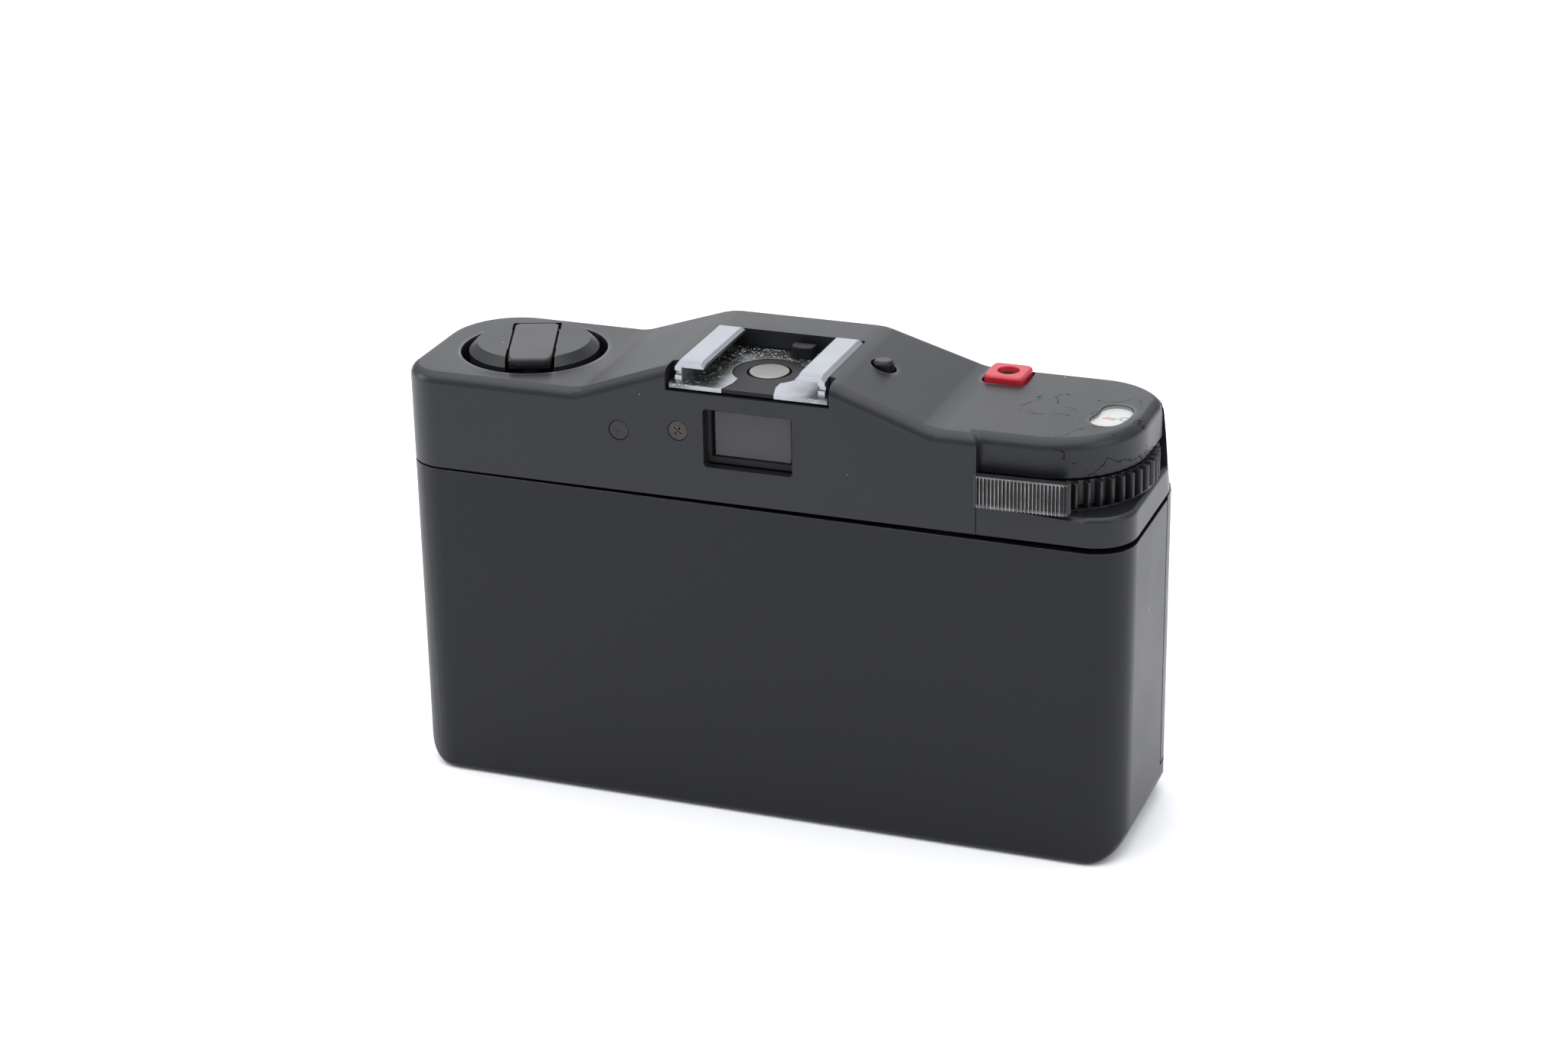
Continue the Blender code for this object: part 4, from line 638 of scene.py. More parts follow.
def paint_cracks(tree):
    """Fine branching cracks in the paint round the counter window."""
    place = object_place(tree)
    wander = noise(tree, place, 420.0, Detail=3.0)
    shift = vector_calc(tree, "MULTIPLY_ADD", wander["Color"], (0.004, 0.004, 0.0), place)["Vector"]
    veins = add(tree, "ShaderNodeTexVoronoi", Scale=130.0)
    veins.feature = "DISTANCE_TO_EDGE"
    link(tree, shift, veins.inputs["Vector"])
    line = calc(tree, "LESS_THAN", veins.outputs["Distance"], 0.011)
    away = vector_calc(tree, "DISTANCE", place, (-0.0415, 0.0045, 0.058))["Value"]
    near = calc(tree, "LESS_THAN", away, 0.0095)
    gaps = calc(tree, "GREATER_THAN", wander["Fac"], 0.5)
    return times(tree, line, near, gaps, 0.7)


def upper_edges(tree):
    """Where the housing gets its painted highlight: its upper rounded edges, clear of the shoe between
    them.
    """
    at = axes(tree, object_place(tree))
    high = ramp(tree, at["Z"], 0.0562, 0.0570)
    aside = ramp(tree, calc(tree, "ABSOLUTE", at["X"]), 0.0119, 0.0128)
    return times(tree, high, aside)


BLACK = (0.009, 0.0095, 0.0115)
# The grey edge colour on the housing, kept to its upper edges, is a painted highlight along the rounded
# edges, broken up by noise.
housing_paint = coat("housing_paint", BLACK, 0.35, gloss=0.34, grain=0.000004, grain_size=1700.0,
                     dust=0.03, speck=0.065, sides=0.4, cells=600.0, wear_and_highlight_colour=(0.07, 0.07, 0.078),
                     wear_and_highlight_radius=0.0011, wear_and_highlight_break=90.0, highlight_where=upper_edges, cracks=paint_cracks)
dress(cover, housing_paint, "root", "top_cover")

# ---- back cover -----------------------------------------------------------------------------
# The back, the sides and the base in one drawn shell, smoother than the housing above it. It slides
# off downwards and carries the film's pressure plate.
BASE_ROUND, BASE_WALL, SKIRT, SIDE_SEAM = 4.5, 2.0, 5.5, -5.1
BACK_TOP, SEAM_TILT = SEAM - 0.3, 0.0055
PIVOT_Y, PIVOT_Z, EARS = -13.3, 3.7, 30.7
BUSH_CENTRE, KEY_CENTRE = (14.0, 1.0), (-14.0, 1.0)


def body_outline(inset, steps=14):
    """The camera's plan, moved inwards by an inset."""
    points = []
    for x, y, start in ((-1, -1, 180), (1, -1, 270), (1, 1, 0), (-1, 1, 90)):
        radius = (FRONT_ROUND if y < 0 else REAR_ROUND) - inset
        corner = (x * (HALF_WIDTH - inset - radius), y * (HALF_DEPTH - inset - radius))
        points += [on_circle(corner, radius, start + 90 * k / steps) for k in range(steps + 1)]
    return points


back = extrude_outline("back_shell", body_outline(0), 0, BACK_TOP)
open_edit(back)
bisect((HALF_WIDTH, 0, BACK_TOP), (-SEAM_TILT, 0, 1), drop=True)
close_edit()
side_view = [(HALF_WIDTH, 60), (-HALF_WIDTH, 60)]
for side, start in ((-1, 180), (1, 270)):
    corner = (side * (HALF_WIDTH - BASE_ROUND), BASE_ROUND)
    side_view += [on_circle(corner, BASE_ROUND, start + 6 * k) for k in range(16)]
shape(back, extrude_outline("back_side_view", side_view, -25, 25, axis="Y"), operation="INTERSECT")
bevel_edges(back, lambda edge: middle_of(edge).z < BASE_ROUND + 0.1
            and edge.calc_face_angle() > math.radians(24), 0.8, 4)
shape(back, extrude_outline("back_inside", body_outline(SHELL_WALL), BASE_WALL, 60),
      cuboid("back_front", (-60, -25, SKIRT), (60, SIDE_SEAM, 60)),
      cuboid("hinge_pocket", (-EARS - 0.4, -25, -5), (EARS + 0.4, -8.7, 6.3)),
      drum("cassette_bulge", CASSETTE_ROOM, BASE_WALL, 60, KNOB_CENTRE),
      drum("bush_hole", 4.6, -5, 7, BUSH_CENTRE),
      drum("key_recess", 4.8, -5, 1.4, KEY_CENTRE),
      drum("key_hole", 1.8, -5, 7, KEY_CENTRE, steps=48))
soften(back, width=0.12)
back_paint = coat("back_paint", (0.005, 0.0055, 0.007), 0.35, gloss=0.26, tint=0.08, spread=0.05,
                  grain=0.0000005, dust=0.006, sides=0.5, cells=380.0, wear_and_highlight_colour=(0.045, 0.045, 0.05))
dress(back, back_paint, "back_cover", "back_cover")


# ---- front wall -----------------------------------------------------------------------------
# The fixed wall round the folding front, with the two ears that hold its hinge pin. Moulded, and
# painted like the housing.
def from_cad(node, name, width=0.12, angle=32, smooth=35):
    """A merged copy of a CAD node with broken edges and smooth shading."""
    copy = frame["nodes"][node].copy()
    copy.data = frame["nodes"][node].data.copy()
    copy.name = copy.data.name = name
    copy.parent = None
    for key in list(copy.keys()):
        del copy[key]
    scene.collection.objects.link(copy)
    copy.hide_render = copy.hide_viewport = False
    open_edit(copy)
    bpy.ops.mesh.remove_doubles(threshold=2e-6)
    bpy.ops.mesh.dissolve_limited(angle_limit=math.radians(0.6))
    close_edit()
    soften(copy, width=width, angle=angle, smooth=smooth)
    return copy


def dress_cad(node, name, material, body, **how):
    """Dress a CAD node's softened copy, which stands for that node."""
    return dress(from_cad(node, name, **how), material, body, node)


front_paint = coat("front_paint", (0.008, 0.0085, 0.0105), 0.38, gloss=0.38, grain=0.0000008, dust=0.01,
                   sides=0.4, wear_and_highlight_colour=(0.045, 0.045, 0.05))
dress_cad("front_shell", "front_wall", front_paint, "root", width=0.15)

# ---- accessory shoe -------------------------------------------------------------------------
# A plated steel plate with folded rails, screwed down in its recess. A black moulding fills its
# middle and insulates the centre contact, whose lead runs to the rear.
SLOT_HALF, MOUTH_HALF, RAIL_WALL, SHOE_TOP, SHOE_SHEET = 9.3, 6.25, 0.95, 63.25, 0.6
SHOE_CENTRE, STEM_HALF, STEM_FLARE = (EYE_X, 7.0), 2.9, 0.9
shoe_plate = extrude_outline("shoe", [(EYE_X + x, y) for x, y in (
    (-SHOE_WAIST, SHOE_FRONT), (SHOE_WAIST, SHOE_FRONT), (SHOE_WAIST, SHOE_STEP),
    (SHOE_HALF, SHOE_STEP + 0.4), (SHOE_HALF, SHOE_REAR - 0.3), (SHOE_HALF - 0.3, SHOE_REAR),
    (-SHOE_HALF + 0.3, SHOE_REAR),
    (-SHOE_HALF, SHOE_REAR - 0.3), (-SHOE_HALF, SHOE_STEP + 0.4), (-SHOE_WAIST, SHOE_STEP))],
    SHOE_FLOOR - SHOE_SHEET, SHOE_FLOOR)
for side in (-1, 1):
    # the fold: wall, then a lip turned in over the slot, with its long edges planed off
    section = [(SLOT_HALF, SHOE_FLOOR - 0.4), (SLOT_HALF + RAIL_WALL, SHOE_FLOOR - 0.4),
               (SLOT_HALF + RAIL_WALL, SHOE_TOP - 0.55), (SLOT_HALF + RAIL_WALL - 0.55, SHOE_TOP),
               (MOUTH_HALF + 0.45, SHOE_TOP), (MOUTH_HALF, SHOE_TOP - 0.4), (MOUTH_HALF, SHOE_TOP - 0.85),
               (SLOT_HALF, SHOE_TOP - 0.85)]
    rail = extrude_outline("rail", [(EYE_X + side * x, z) for x, z in section], SHOE_FRONT,
                           SHOE_REAR - 0.8, axis="Y")
    open_edit(rail)
    for y in (SHOE_REAR - 2.0, SHOE_FRONT + 0.8):
        bisect((0, y, 0), (0, 1, 0))
    lower_verts(rail, lambda at: at.z > SHOE_TOP - 0.7
                and (at.y > SHOE_REAR - 1.0 or at.y < SHOE_FRONT + 0.1), 0.28)
    close_edit()
    shape(shoe_plate, rail, operation="UNION")
    # the wall is nicked where the fold ends
    nick = EYE_X + side * (SLOT_HALF + 0.55)
    shape(shoe_plate, cuboid("nick", (nick - 0.5, SHOE_REAR - 1.2, SHOE_FLOOR + 0.9),
                             (nick + 0.5, SHOE_REAR, SHOE_FLOOR + 1.5)))
shape(shoe_plate, drum("disc_hole", 4.8, 55, SHOE_FLOOR + 1, SHOE_CENTRE),
      extrude_outline("stem_hole", [(EYE_X + x, y) for x, y in (
          (-STEM_HALF, 7.0), (STEM_HALF, 7.0), (STEM_HALF, SHOE_STEP), (STEM_HALF + STEM_FLARE, 16.0),
          (-STEM_HALF - STEM_FLARE, 16.0), (-STEM_HALF, SHOE_STEP))], 55, SHOE_FLOOR + 1))
soften(shoe_plate, width=0.11, segments=3, angle=24)


def shoe_haze(tree):
    """Old grease and grit that lie towards the front of the shoe's floor."""
    place = object_place(tree)
    spots = noise(tree, place, 3600.0, Detail=2.0, Roughness=0.7)
    cloud = noise(tree, place, 260.0, Detail=3.0)
    at = axes(tree, place)
    frontward = ramp(tree, at["Y"], 0.0115, 0.0015)
    low = calc(tree, "LESS_THAN", at["Z"], (SHOE_FLOOR + 0.05) * MM)
    sideways = ramp(tree, calc(tree, "ABSOLUTE", at["X"]), 0.0035, 0.008)
    spread = calc(tree, "MAXIMUM", frontward, times(tree, sideways, 0.8))
    grime = times(tree, spread, ramp(tree, cloud["Fac"], 0.25, 0.6), clamp=True)
    grit = calc(tree, "GREATER_THAN", spots["Fac"], 0.62)
    return times(tree, grime, low), times(tree, grit, low, spread)


plating, tree, shader = new_finish("plated_steel")
shader.inputs["IOR"].default_value = 1.5
surface = place_group(tree, moulded_surface, Blotch_Size=300.0, Grain_Size=5200.0)
grime, grit = shoe_haze(tree)
metal = blend_colour(tree, surface["Blotch"], (0.345, 0.357, 0.383), (0.405, 0.418, 0.444))
metal = blend_colour(tree, grime, metal, (0.085, 0.10, 0.09))
metal = blend_colour(tree, grit, metal, (0.5, 0.5, 0.44))
link(tree, metal, shader.inputs["Base Color"])
link(tree, calc(tree, "SUBTRACT", 1.0, grit), shader.inputs["Metallic"])
polish = calc(tree, "MULTIPLY_ADD", surface["Blotch"], 0.08, 0.27)
link(tree, calc(tree, "MULTIPLY_ADD", grit, 0.5, polish), shader.inputs["Roughness"])
bump(tree, shader, times(tree, surface["Grain"], 0.0000012))
dress(shoe_plate, plating, "root", "accessory_shoe")

INSULATOR_LOW, INSULATOR_TOP = SHOE_FLOOR - 0.6, SHOE_FLOOR - 0.06
insulator = drum("shoe_insulator_disc", 4.65, INSULATOR_LOW, INSULATOR_TOP, SHOE_CENTRE)
shape(insulator, extrude_outline("stem", [(EYE_X + x, y) for x, y in (
    (-2.85, 7.0), (2.85, 7.0), (2.85, SHOE_STEP), (3.45, 15.0), (-3.45, 15.0), (-2.85, SHOE_STEP))],
    INSULATOR_LOW, INSULATOR_TOP), operation="UNION")
shape(insulator, drum("contact_hole", 2.95, 55, 62, SHOE_CENTRE, steps=64))
soften(insulator, width=0.08)
insulator_black = coat("insulator_black", (0.006, 0.006, 0.007), 0.5, gloss=0.25, grain=0.0000012,
                       dust=0.05, speck=0.1, cells=700.0)
dress(insulator, insulator_black, "root", "shoe_insulator")

contact = drum("shoe_contact_disc", 2.65, SHOE_FLOOR - 0.6, SHOE_FLOOR + 0.05, SHOE_CENTRE, steps=72)
soften(contact, width=0.12, segments=3)
dull_silver = coat("dull_silver", (0.27, 0.265, 0.25), 0.42, metallic=1.0, tint=0.18, spread=0.14,
                   grain=0.000002, grain_size=2200.0, dust=0.08, dust_colour=(0.25, 0.24, 0.22), speck=0.1,
                   cells=1500.0)
dress(contact, dull_silver, "root", "shoe_contact")

# a small black stop at the front of the recess keeps the foot from sliding through
stop = extrude_outline("shoe_stop", [(-0.4, -0.4), (-3.7, -0.4), (-3.5, 1.1), (-2.7, 1.5), (-1.5, 1.5),
                                     (-0.6, 1.1)], SHOE_FLOOR + 0.02, SHOE_FLOOR + 1.6)
soften(stop, width=0.2, segments=3)
dress(stop, insulator_black, "root")

# ---- viewfinder -----------------------------------------------------------------------------
# A black box through the housing with a glass at each end, and the light cell's round window.
matt_black = coat("matt_black", (0.008, 0.008, 0.009), 0.62, grain=0.000002)
dress_cad("viewfinder_tube", "finder_tube", matt_black, "root", width=0.0)


def glass(name, colour, alpha, roughness=0.03):
    """Clear optical glass or plastic that shows what lies behind it."""
    made, tree, shader = new_finish(name)
    shader.inputs["IOR"].default_value = 1.52
    shader.inputs["Alpha"].default_value = alpha
    surface = place_group(tree, moulded_surface, Blotch_Size=500.0)
    deep = tuple(c * 0.85 for c in colour)
    link(tree, blend_colour(tree, surface["Blotch"], deep, colour), shader.inputs["Base Color"])
    link(tree, calc(tree, "MULTIPLY_ADD", surface["Blotch"], 0.03, roughness), shader.inputs["Roughness"])
    return made


eyepiece_low, eyepiece_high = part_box("eyepiece_window")
pane_rim = Vector((0, 0, 0.25))
eyepiece = cuboid("eyepiece_glass", tuple(eyepiece_low / MM - pane_rim),
                  tuple(eyepiece_high / MM + pane_rim))
soften(eyepiece, width=0.2, segments=2)
dress(eyepiece, glass("eye_glass", (0.05, 0.05, 0.056), 0.7), "root", "eyepiece_window")
front_glass = glass("front_glass", (0.05, 0.055, 0.07), 0.55)
dress_cad("viewfinder_window", "finder_front_glass", front_glass, "root")
cell_glass = glass("cell_glass", (0.30, 0.31, 0.32), 0.8, roughness=0.2)
dress_cad("light_cell_window", "light_cell_glass", cell_glass, "root", width=0.2)

# ---- advance wheel --------------------------------------------------------------------------
# A moulded wheel with coarse teeth round its rim, turned by the ribbed metal pad that is riveted to
# it. Thumb and pocket have worn the pad's ridges to bare metal.
WHEEL_TIP, TOOTH_DEPTH, TEETH, WHEEL_LOW, WHEEL_HIGH = 13.3, 1.25, 50, 49.3, 52.6
TOOTH_FORM = ((0.0, TOOTH_DEPTH), (0.04, 0.4), (0.18, 0.0), (0.36, 0.0), (0.5, 0.4), (0.54, TOOTH_DEPTH))
rim = []
for tooth in range(TEETH):
    rim += [on_circle(WHEEL_CENTRE, WHEEL_TIP - fall, 360 * (tooth + share) / TEETH)
            for share, fall in TOOTH_FORM]
wheel = extrude_outline("toothed_wheel", rim, WHEEL_LOW, WHEEL_HIGH)
shape(wheel, drum("wheel_bore", 3.3, 40, 60, WHEEL_CENTRE, steps=64))
soften(wheel, width=0.05, segments=2)
tooth_black = coat("tooth_black", (0.008, 0.0083, 0.0095), 0.40, grain=0.000001, dust=0.03, cells=600.0,
                   sides=0.5, wear_and_highlight_colour=(0.05, 0.05, 0.05), wear_and_highlight_roughness=0.35, wear_and_highlight_radius=0.00012)
dress(wheel, tooth_black, "advance_wheel", "advance_wheel")
steel = coat("machined_steel", (0.55, 0.55, 0.56), 0.32, metallic=1.0, tint=0.1, grain=0.000001)
dress_cad("wheel_shaft", "wheel_spindle", steel, "advance_wheel", width=0.1)

PAD_LOW, PAD_HIGH, PAD_LENGTH, PAD_THICK, PAD_RIDGES = 49.2, 53.3, 12.4, 1.6, 24
PAD_TURN, PAD_LEAN, END_ROUND, RIDGE_DEPTH = math.radians(-2.0), math.radians(2.5), 1.1, 0.3
RIDGE_FORM = ((0.2, 0.25), (0.3, 0.0), (0.4, 0.0), (0.5, 0.25), (0.68, 1.0), (0.98, 1.0))
half_pad, pad_inner = PAD_LENGTH / 2, WHEEL_TIP + 0.1
pad_outer = pad_inner + PAD_THICK
end_side, end_arc = PAD_THICK - END_ROUND, END_ROUND * math.pi / 2
round_pad = 2 * (end_side + end_arc) + PAD_LENGTH - 2 * END_ROUND
pad_hub = (WHEEL_CENTRE[0] - pad_inner * math.sin(PAD_TURN),
           WHEEL_CENTRE[1] + pad_inner * math.cos(PAD_TURN))


def on_pad(along, drop):
    """A point on the pad's outer path, moved inwards by a drop."""
    side = 1 if along < round_pad / 2 else -1
    left = min(along, round_pad - along)
    if left < end_side:
        return side * (half_pad - drop), pad_inner + left
    left -= end_side
    if left < end_arc:
        angle = left / END_ROUND
        return (side * (half_pad - END_ROUND + (END_ROUND - drop) * math.cos(angle)),
                pad_outer - END_ROUND + (END_ROUND - drop) * math.sin(angle))
    return side * (half_pad - END_ROUND - (left - end_arc)), pad_outer - drop


pad_outline = [(-half_pad, pad_inner), (half_pad, pad_inner)]
ridges = round(round_pad / (PAD_LENGTH / (PAD_RIDGES + 1)))
for number in range(ridges):
    for share, fall in RIDGE_FORM:
        pad_outline.append(on_pad(round_pad * (number + share) / ridges, RIDGE_DEPTH * fall))
pad = extrude_outline("thumb_grip", [
    (pad_hub[0] + x * math.cos(PAD_LEAN) - (y - pad_inner) * math.sin(PAD_LEAN),
     pad_hub[1] + x * math.sin(PAD_LEAN) + (y - pad_inner) * math.cos(PAD_LEAN)) for x, y in pad_outline],
    PAD_LOW, PAD_HIGH)
soften(pad, width=0.04, segments=1, angle=50)


def pad_wear(tree):
    """A mask for the pad's bare crests and bare upper and lower edges, broken up by noise."""
    place = object_place(tree)
    normal = (-math.sin(PAD_LEAN), math.cos(PAD_LEAN), 0)
    outwards = vector_calc(tree, "DOT_PRODUCT", place, normal)["Value"]
    face = -pad_hub[0] * math.sin(PAD_LEAN) + pad_hub[1] * math.cos(PAD_LEAN) + PAD_THICK
    level = axes(tree, place)["Z"]
    rubbed = noise(tree, place, 520.0, Detail=4.0)
    crest = ramp(tree, outwards, (face - 0.08) * MM, (face - 0.01) * MM)
    top = ramp(tree, level, (PAD_HIGH - 0.2) * MM, (PAD_HIGH - 0.05) * MM)
    foot = ramp(tree, level, (PAD_LOW + 0.5) * MM, PAD_LOW * MM)
    broken = ramp(tree, rubbed["Fac"], 0.3, 0.62)
    outside = ramp(tree, outwards, (face - 0.5) * MM, (face - 0.3) * MM)
    edges = times(tree, calc(tree, "MAXIMUM", top, foot), outside)
    share = calc(tree, "MULTIPLY_ADD", broken, 0.75, 0.25)
    return times(tree, calc(tree, "MAXIMUM", crest, edges), share, clamp=True)


pad_metal, tree, shader = new_finish("pad_metal")
bare = pad_wear(tree)
surface = place_group(tree, moulded_surface, Blotch_Size=400.0)
dark_pad = blend_colour(tree, surface["Blotch"], (0.008, 0.008, 0.008), (0.02, 0.02, 0.021))
link(tree, blend_colour(tree, bare, dark_pad, (0.36, 0.36, 0.355)), shader.inputs["Base Color"])
link(tree, times(tree, bare, 0.7), shader.inputs["Metallic"])
link(tree, calc(tree, "MULTIPLY_ADD", surface["Blotch"], 0.1, 0.3), shader.inputs["Roughness"])
dress(pad, pad_metal, "advance_wheel", "thumb_pad")

# ---- frame counter --------------------------------------------------------------------------
# A white disc printed with frame numbers turns under a clear window set flush in the housing.
DIAL_LOW, DIAL_HIGH, INK = 54.9, 55.5, 0.04
COUNTER_AT, FRAME_STEP, LAST_FRAME, NUMBER_EVERY = 172.0, 9.0, 36, 4
dial = drum("counter_disc", 10.2, DIAL_LOW, DIAL_HIGH, WHEEL_CENTRE)
soften(dial, width=0.1)
dress(dial, coat("dial_white", (0.86, 0.86, 0.84), 0.5, tint=0.02), "counter_dial", "counter_dial")
ink_grey = coat("ink_grey", (0.12, 0.12, 0.13), 0.6)
ink_red = coat("ink_red", (0.62, 0.02, 0.05), 0.5)


def polar(radius, angle):
    return on_circle(WHEEL_CENTRE, radius, angle)


def printed(name, parts, material):
    """Thin ink marks joined into one piece that rides on the dial."""
    pick_nothing()
    for part in parts:
        part.select_set(True)
    bpy.context.view_layer.objects.active = parts[0]
    if len(parts) > 1:
        bpy.ops.object.join()
    dress(settle(parts[0], name), material, "counter_dial")


figures, ticks = [], []
for frame_number in range(LAST_FRAME + 1):
    angle = COUNTER_AT - frame_number * FRAME_STEP
    numbered = frame_number % NUMBER_EVERY == 0
    inner, outer = Vector(polar(6.0, angle)), Vector(polar(7.3 if numbered else 6.7, angle))
    across = Vector((outer.y - inner.y, inner.x - outer.x)).normalized() * 0.07
    ticks.append(extrude_outline("tick", [inner - across, outer - across, outer + across, inner + across],
                                 DIAL_HIGH, DIAL_HIGH + INK))
    if numbered:
        pick_nothing()
        spot = polar(8.6, angle)
        bpy.ops.object.text_add(location=(spot[0] * MM, spot[1] * MM, DIAL_HIGH * MM),
                                rotation=(0, 0, math.radians(angle)))
        text = bpy.context.object
        text.data.body, text.data.size, text.data.extrude = str(frame_number), 1.9 * MM, INK / 2 * MM
        text.data.align_x, text.data.align_y, text.data.resolution_u = "CENTER", "CENTER", 3
        bpy.ops.object.convert(target="MESH")
        figures.append(bpy.context.object)
red_mark = extrude_outline("red_mark", [
    polar(5.9, COUNTER_AT + 3.4), polar(8.3, COUNTER_AT + 2.2), polar(8.3, COUNTER_AT + 4.2),
    polar(5.9, COUNTER_AT + 6.0)], DIAL_HIGH, DIAL_HIGH + INK)
printed("counter_numbers", figures, ink_grey)
printed("counter_ticks", ticks, ink_grey)
printed("counter_red_mark", [red_mark], ink_red)

# a white printed mask lies under the window: red index, a fine line and a ring for the start
MASK_TOP, RING_CENTRE = SHOULDER - 0.5, polar(9.05, 176.5)
mask_plate = extrude_outline("counter_mask", counter_slot(0.04), MASK_TOP - 0.15, MASK_TOP)
soften(mask_plate, width=0.03)
dress(mask_plate, coat("mask_white", (0.50, 0.50, 0.485), 0.45, tint=0.05), "root")
for name, ink, corners in (
        ("counter_index", ink_red, ((6.35, 170.6), (8.0, 171.4), (8.0, 172.6), (6.35, 172.2))),
        ("counter_line", ink_grey, ((6.6, 175.4), (8.4, 174.5), (8.4, 174.9), (6.6, 175.9)))):
    mark = extrude_outline(name, [polar(*corner) for corner in corners], MASK_TOP, MASK_TOP + INK)
    dress(mark, ink, "root")
start_ring = drum("counter_start", 0.62, MASK_TOP, MASK_TOP + INK, RING_CENTRE, steps=48)
shape(start_ring, drum("ring_hole", 0.5, 50, 62, RING_CENTRE, steps=48))
dress(start_ring, ink_grey, "root")
window = extrude_outline("counter_lens", counter_slot(0.03), ROOF + 0.2, SHOULDER - 0.05)
bevel_rim(window, 0.25, 3, above=SHOULDER - 0.2)
soften(window, width=0.0, smooth=60)
counter_clear = glass("counter_clear", (0.5, 0.51, 0.5), 0.16, roughness=0.06)
dress(window, counter_clear, "root", "counter_window")

# ---- release and check buttons --------------------------------------------------------------
# The release is a square red cap with a screwed socket for a cable; the battery check button
# behind it is a small black plunger.
RELEASE_HALF, RELEASE_TOP = 2.75, 58.9
release = cuboid(
    "red_release", (RELEASE_CENTRE[0] - RELEASE_HALF, RELEASE_CENTRE[1] - RELEASE_HALF, ROOF + 0.2),
    (RELEASE_CENTRE[0] + RELEASE_HALF, RELEASE_CENTRE[1] + RELEASE_HALF, RELEASE_TOP))
bevel_edges(release, runs_along, 1.0, 6)
shape(release, drum("cable_socket", 1.45, ROOF + 0.7, 62, RELEASE_CENTRE, steps=64))
shape(release, drum("release_stem", 1.4, 54.3, ROOF + 0.5, RELEASE_CENTRE, steps=48), operation="UNION")
bevel_edges(release, lambda edge: middle_of(edge).z > RELEASE_TOP - 0.05 and edge.calc_face_angle() > 1.0
            and (middle_of(edge) - Vector((*RELEASE_CENTRE, RELEASE_TOP))).length > 2, 0.45, 5)
soften(release, width=0.1)
release_red = coat("release_red", (0.42, 0.010, 0.022), 0.36, tint=0.1, spread=0.08, grain=0.0000006,
                   dust=0.05, sides=0.3, cells=620.0, soft=0.05)
dress(release, release_red, "release_button", "release_button")
socket = drum("cable_thread", 1.44, ROOF + 0.75, ROOF + 1.75, RELEASE_CENTRE, steps=48)
shape(socket, drum("thread_bore", 1.05, 50, 62, RELEASE_CENTRE, steps=48))
soften(socket, width=0.05)
dress(socket, matt_black, "release_button")
dress_cad("release_clip", "release_ring", steel, "release_button", width=0.05)

CHECK_LOW, CHECK_TOP = 55.4, 62.4
check = drum("check_plunger", 1.4, CHECK_LOW, CHECK_TOP, CHECK_CENTRE, steps=64)
shape(check, drum("check_foot", 2.1, CHECK_LOW, 56.2, CHECK_CENTRE, steps=64), operation="UNION")
bevel_rim(check, 0.6, 6, above=CHECK_TOP - 0.1)
soften(check, width=0.06)
glossy_black = coat("glossy_black", (0.006, 0.006, 0.007), 0.2, gloss=0.22, dust=0.05, cells=900.0,
                    speck=0.1)
dress(check, glossy_black, "check_button", "check_button")

# ---- rear screws ----------------------------------------------------------------------------
# Two cross-slotted pan screws hold the housing. They were painted over with it, and paint fills most
# of the left one's slots; the one beside the eyepiece has lost the paint of its slots.
HEAD_RADIUS, HEAD_FACE, SLOT_REACH, SLOT_WIDE = 1.36, 15.45, 0.75, 0.28
chipped = coat("chipped_screw", (0.014, 0.014, 0.016), 0.4, grain=0.000004, grain_size=1700.0,
               wear_and_highlight_colour=(0.42, 0.26, 0.17), wear_and_highlight_roughness=0.35, worn_metal=0.8, wear_and_highlight_radius=0.00014,
               wear_and_highlight_break=1500.0)
painted = coat("painted_screw", BLACK, 0.40, gloss=0.42, grain=0.000004, grain_size=1700.0,
               wear_and_highlight_colour=(0.035, 0.034, 0.034), wear_and_highlight_radius=0.0001)
for name, node, (x, z), turn, slot_floor, finish in (
        ("housing_screw_1", "rear_screw_2", SCREWS[1], 38, 15.1, chipped),
        ("housing_screw_2", "rear_screw_1", SCREWS[0], 12, 15.38, painted)):
    screw = drum("rear_screw", HEAD_RADIUS, 13.4, HEAD_FACE, (x, z), axis="Y", steps=64)
    bevel_rim(screw, 0.14, 3, axis=1, above=HEAD_FACE - 0.05)
    for spin in (turn, turn + 90):
        slot = cuboid("driver_slot", (x - SLOT_REACH, slot_floor, z - SLOT_WIDE / 2),
                      (x + SLOT_REACH, 16.5, z + SLOT_WIDE / 2))
        activate(slot)
        bpy.ops.transform.rotate(value=math.radians(spin), orient_axis="Y", orient_type="GLOBAL",
                                 center_override=(x * MM, HALF_DEPTH * MM, z * MM))
        shape(screw, settle(slot, "driver_slot"))
    soften(screw, width=0.07)
    screw.name = screw.data.name = name
    dress(screw, finish, "root", node)

# ---- rewind knob and crank ------------------------------------------------------------------
# A black knob sunk in its well. Its lever lies flush across a groove, hinged on a pin near the rim,
# and a notch leaves room to lift the lever's free end.
KNOB_RADIUS, KNOB_TOP, KNOB_LOW, CRANK_TURN = 8.75, 59.35, 54.6, 19.4
GROOVE_HALF, GROOVE_FLOOR, NOTCH_HALF, KNOB_CLEAR = 3.2, 58.15, 3.3, 62
HINGE_BACK, HINGE_LEVEL = 4.9, 58.65


def turn_about_knob(piece):
    """Turn a piece that was built square into the lever's direction."""
    activate(piece)
    bpy.ops.transform.rotate(value=-math.radians(CRANK_TURN), orient_axis="Z", orient_type="GLOBAL",
                             center_override=(KNOB_CENTRE[0] * MM, KNOB_CENTRE[1] * MM, 0))
    return settle(piece, piece.name)


def by_knob(x, y):
    return KNOB_CENTRE[0] + x, KNOB_CENTRE[1] + y


def hinge_drum(name, radius, half, steps):
    """A cylinder along the lever's hinge."""
    return drum(name, radius, KNOB_CENTRE[0] - half, KNOB_CENTRE[0] + half,
                (KNOB_CENTRE[1] - HINGE_BACK, HINGE_LEVEL), axis="X", steps=steps)


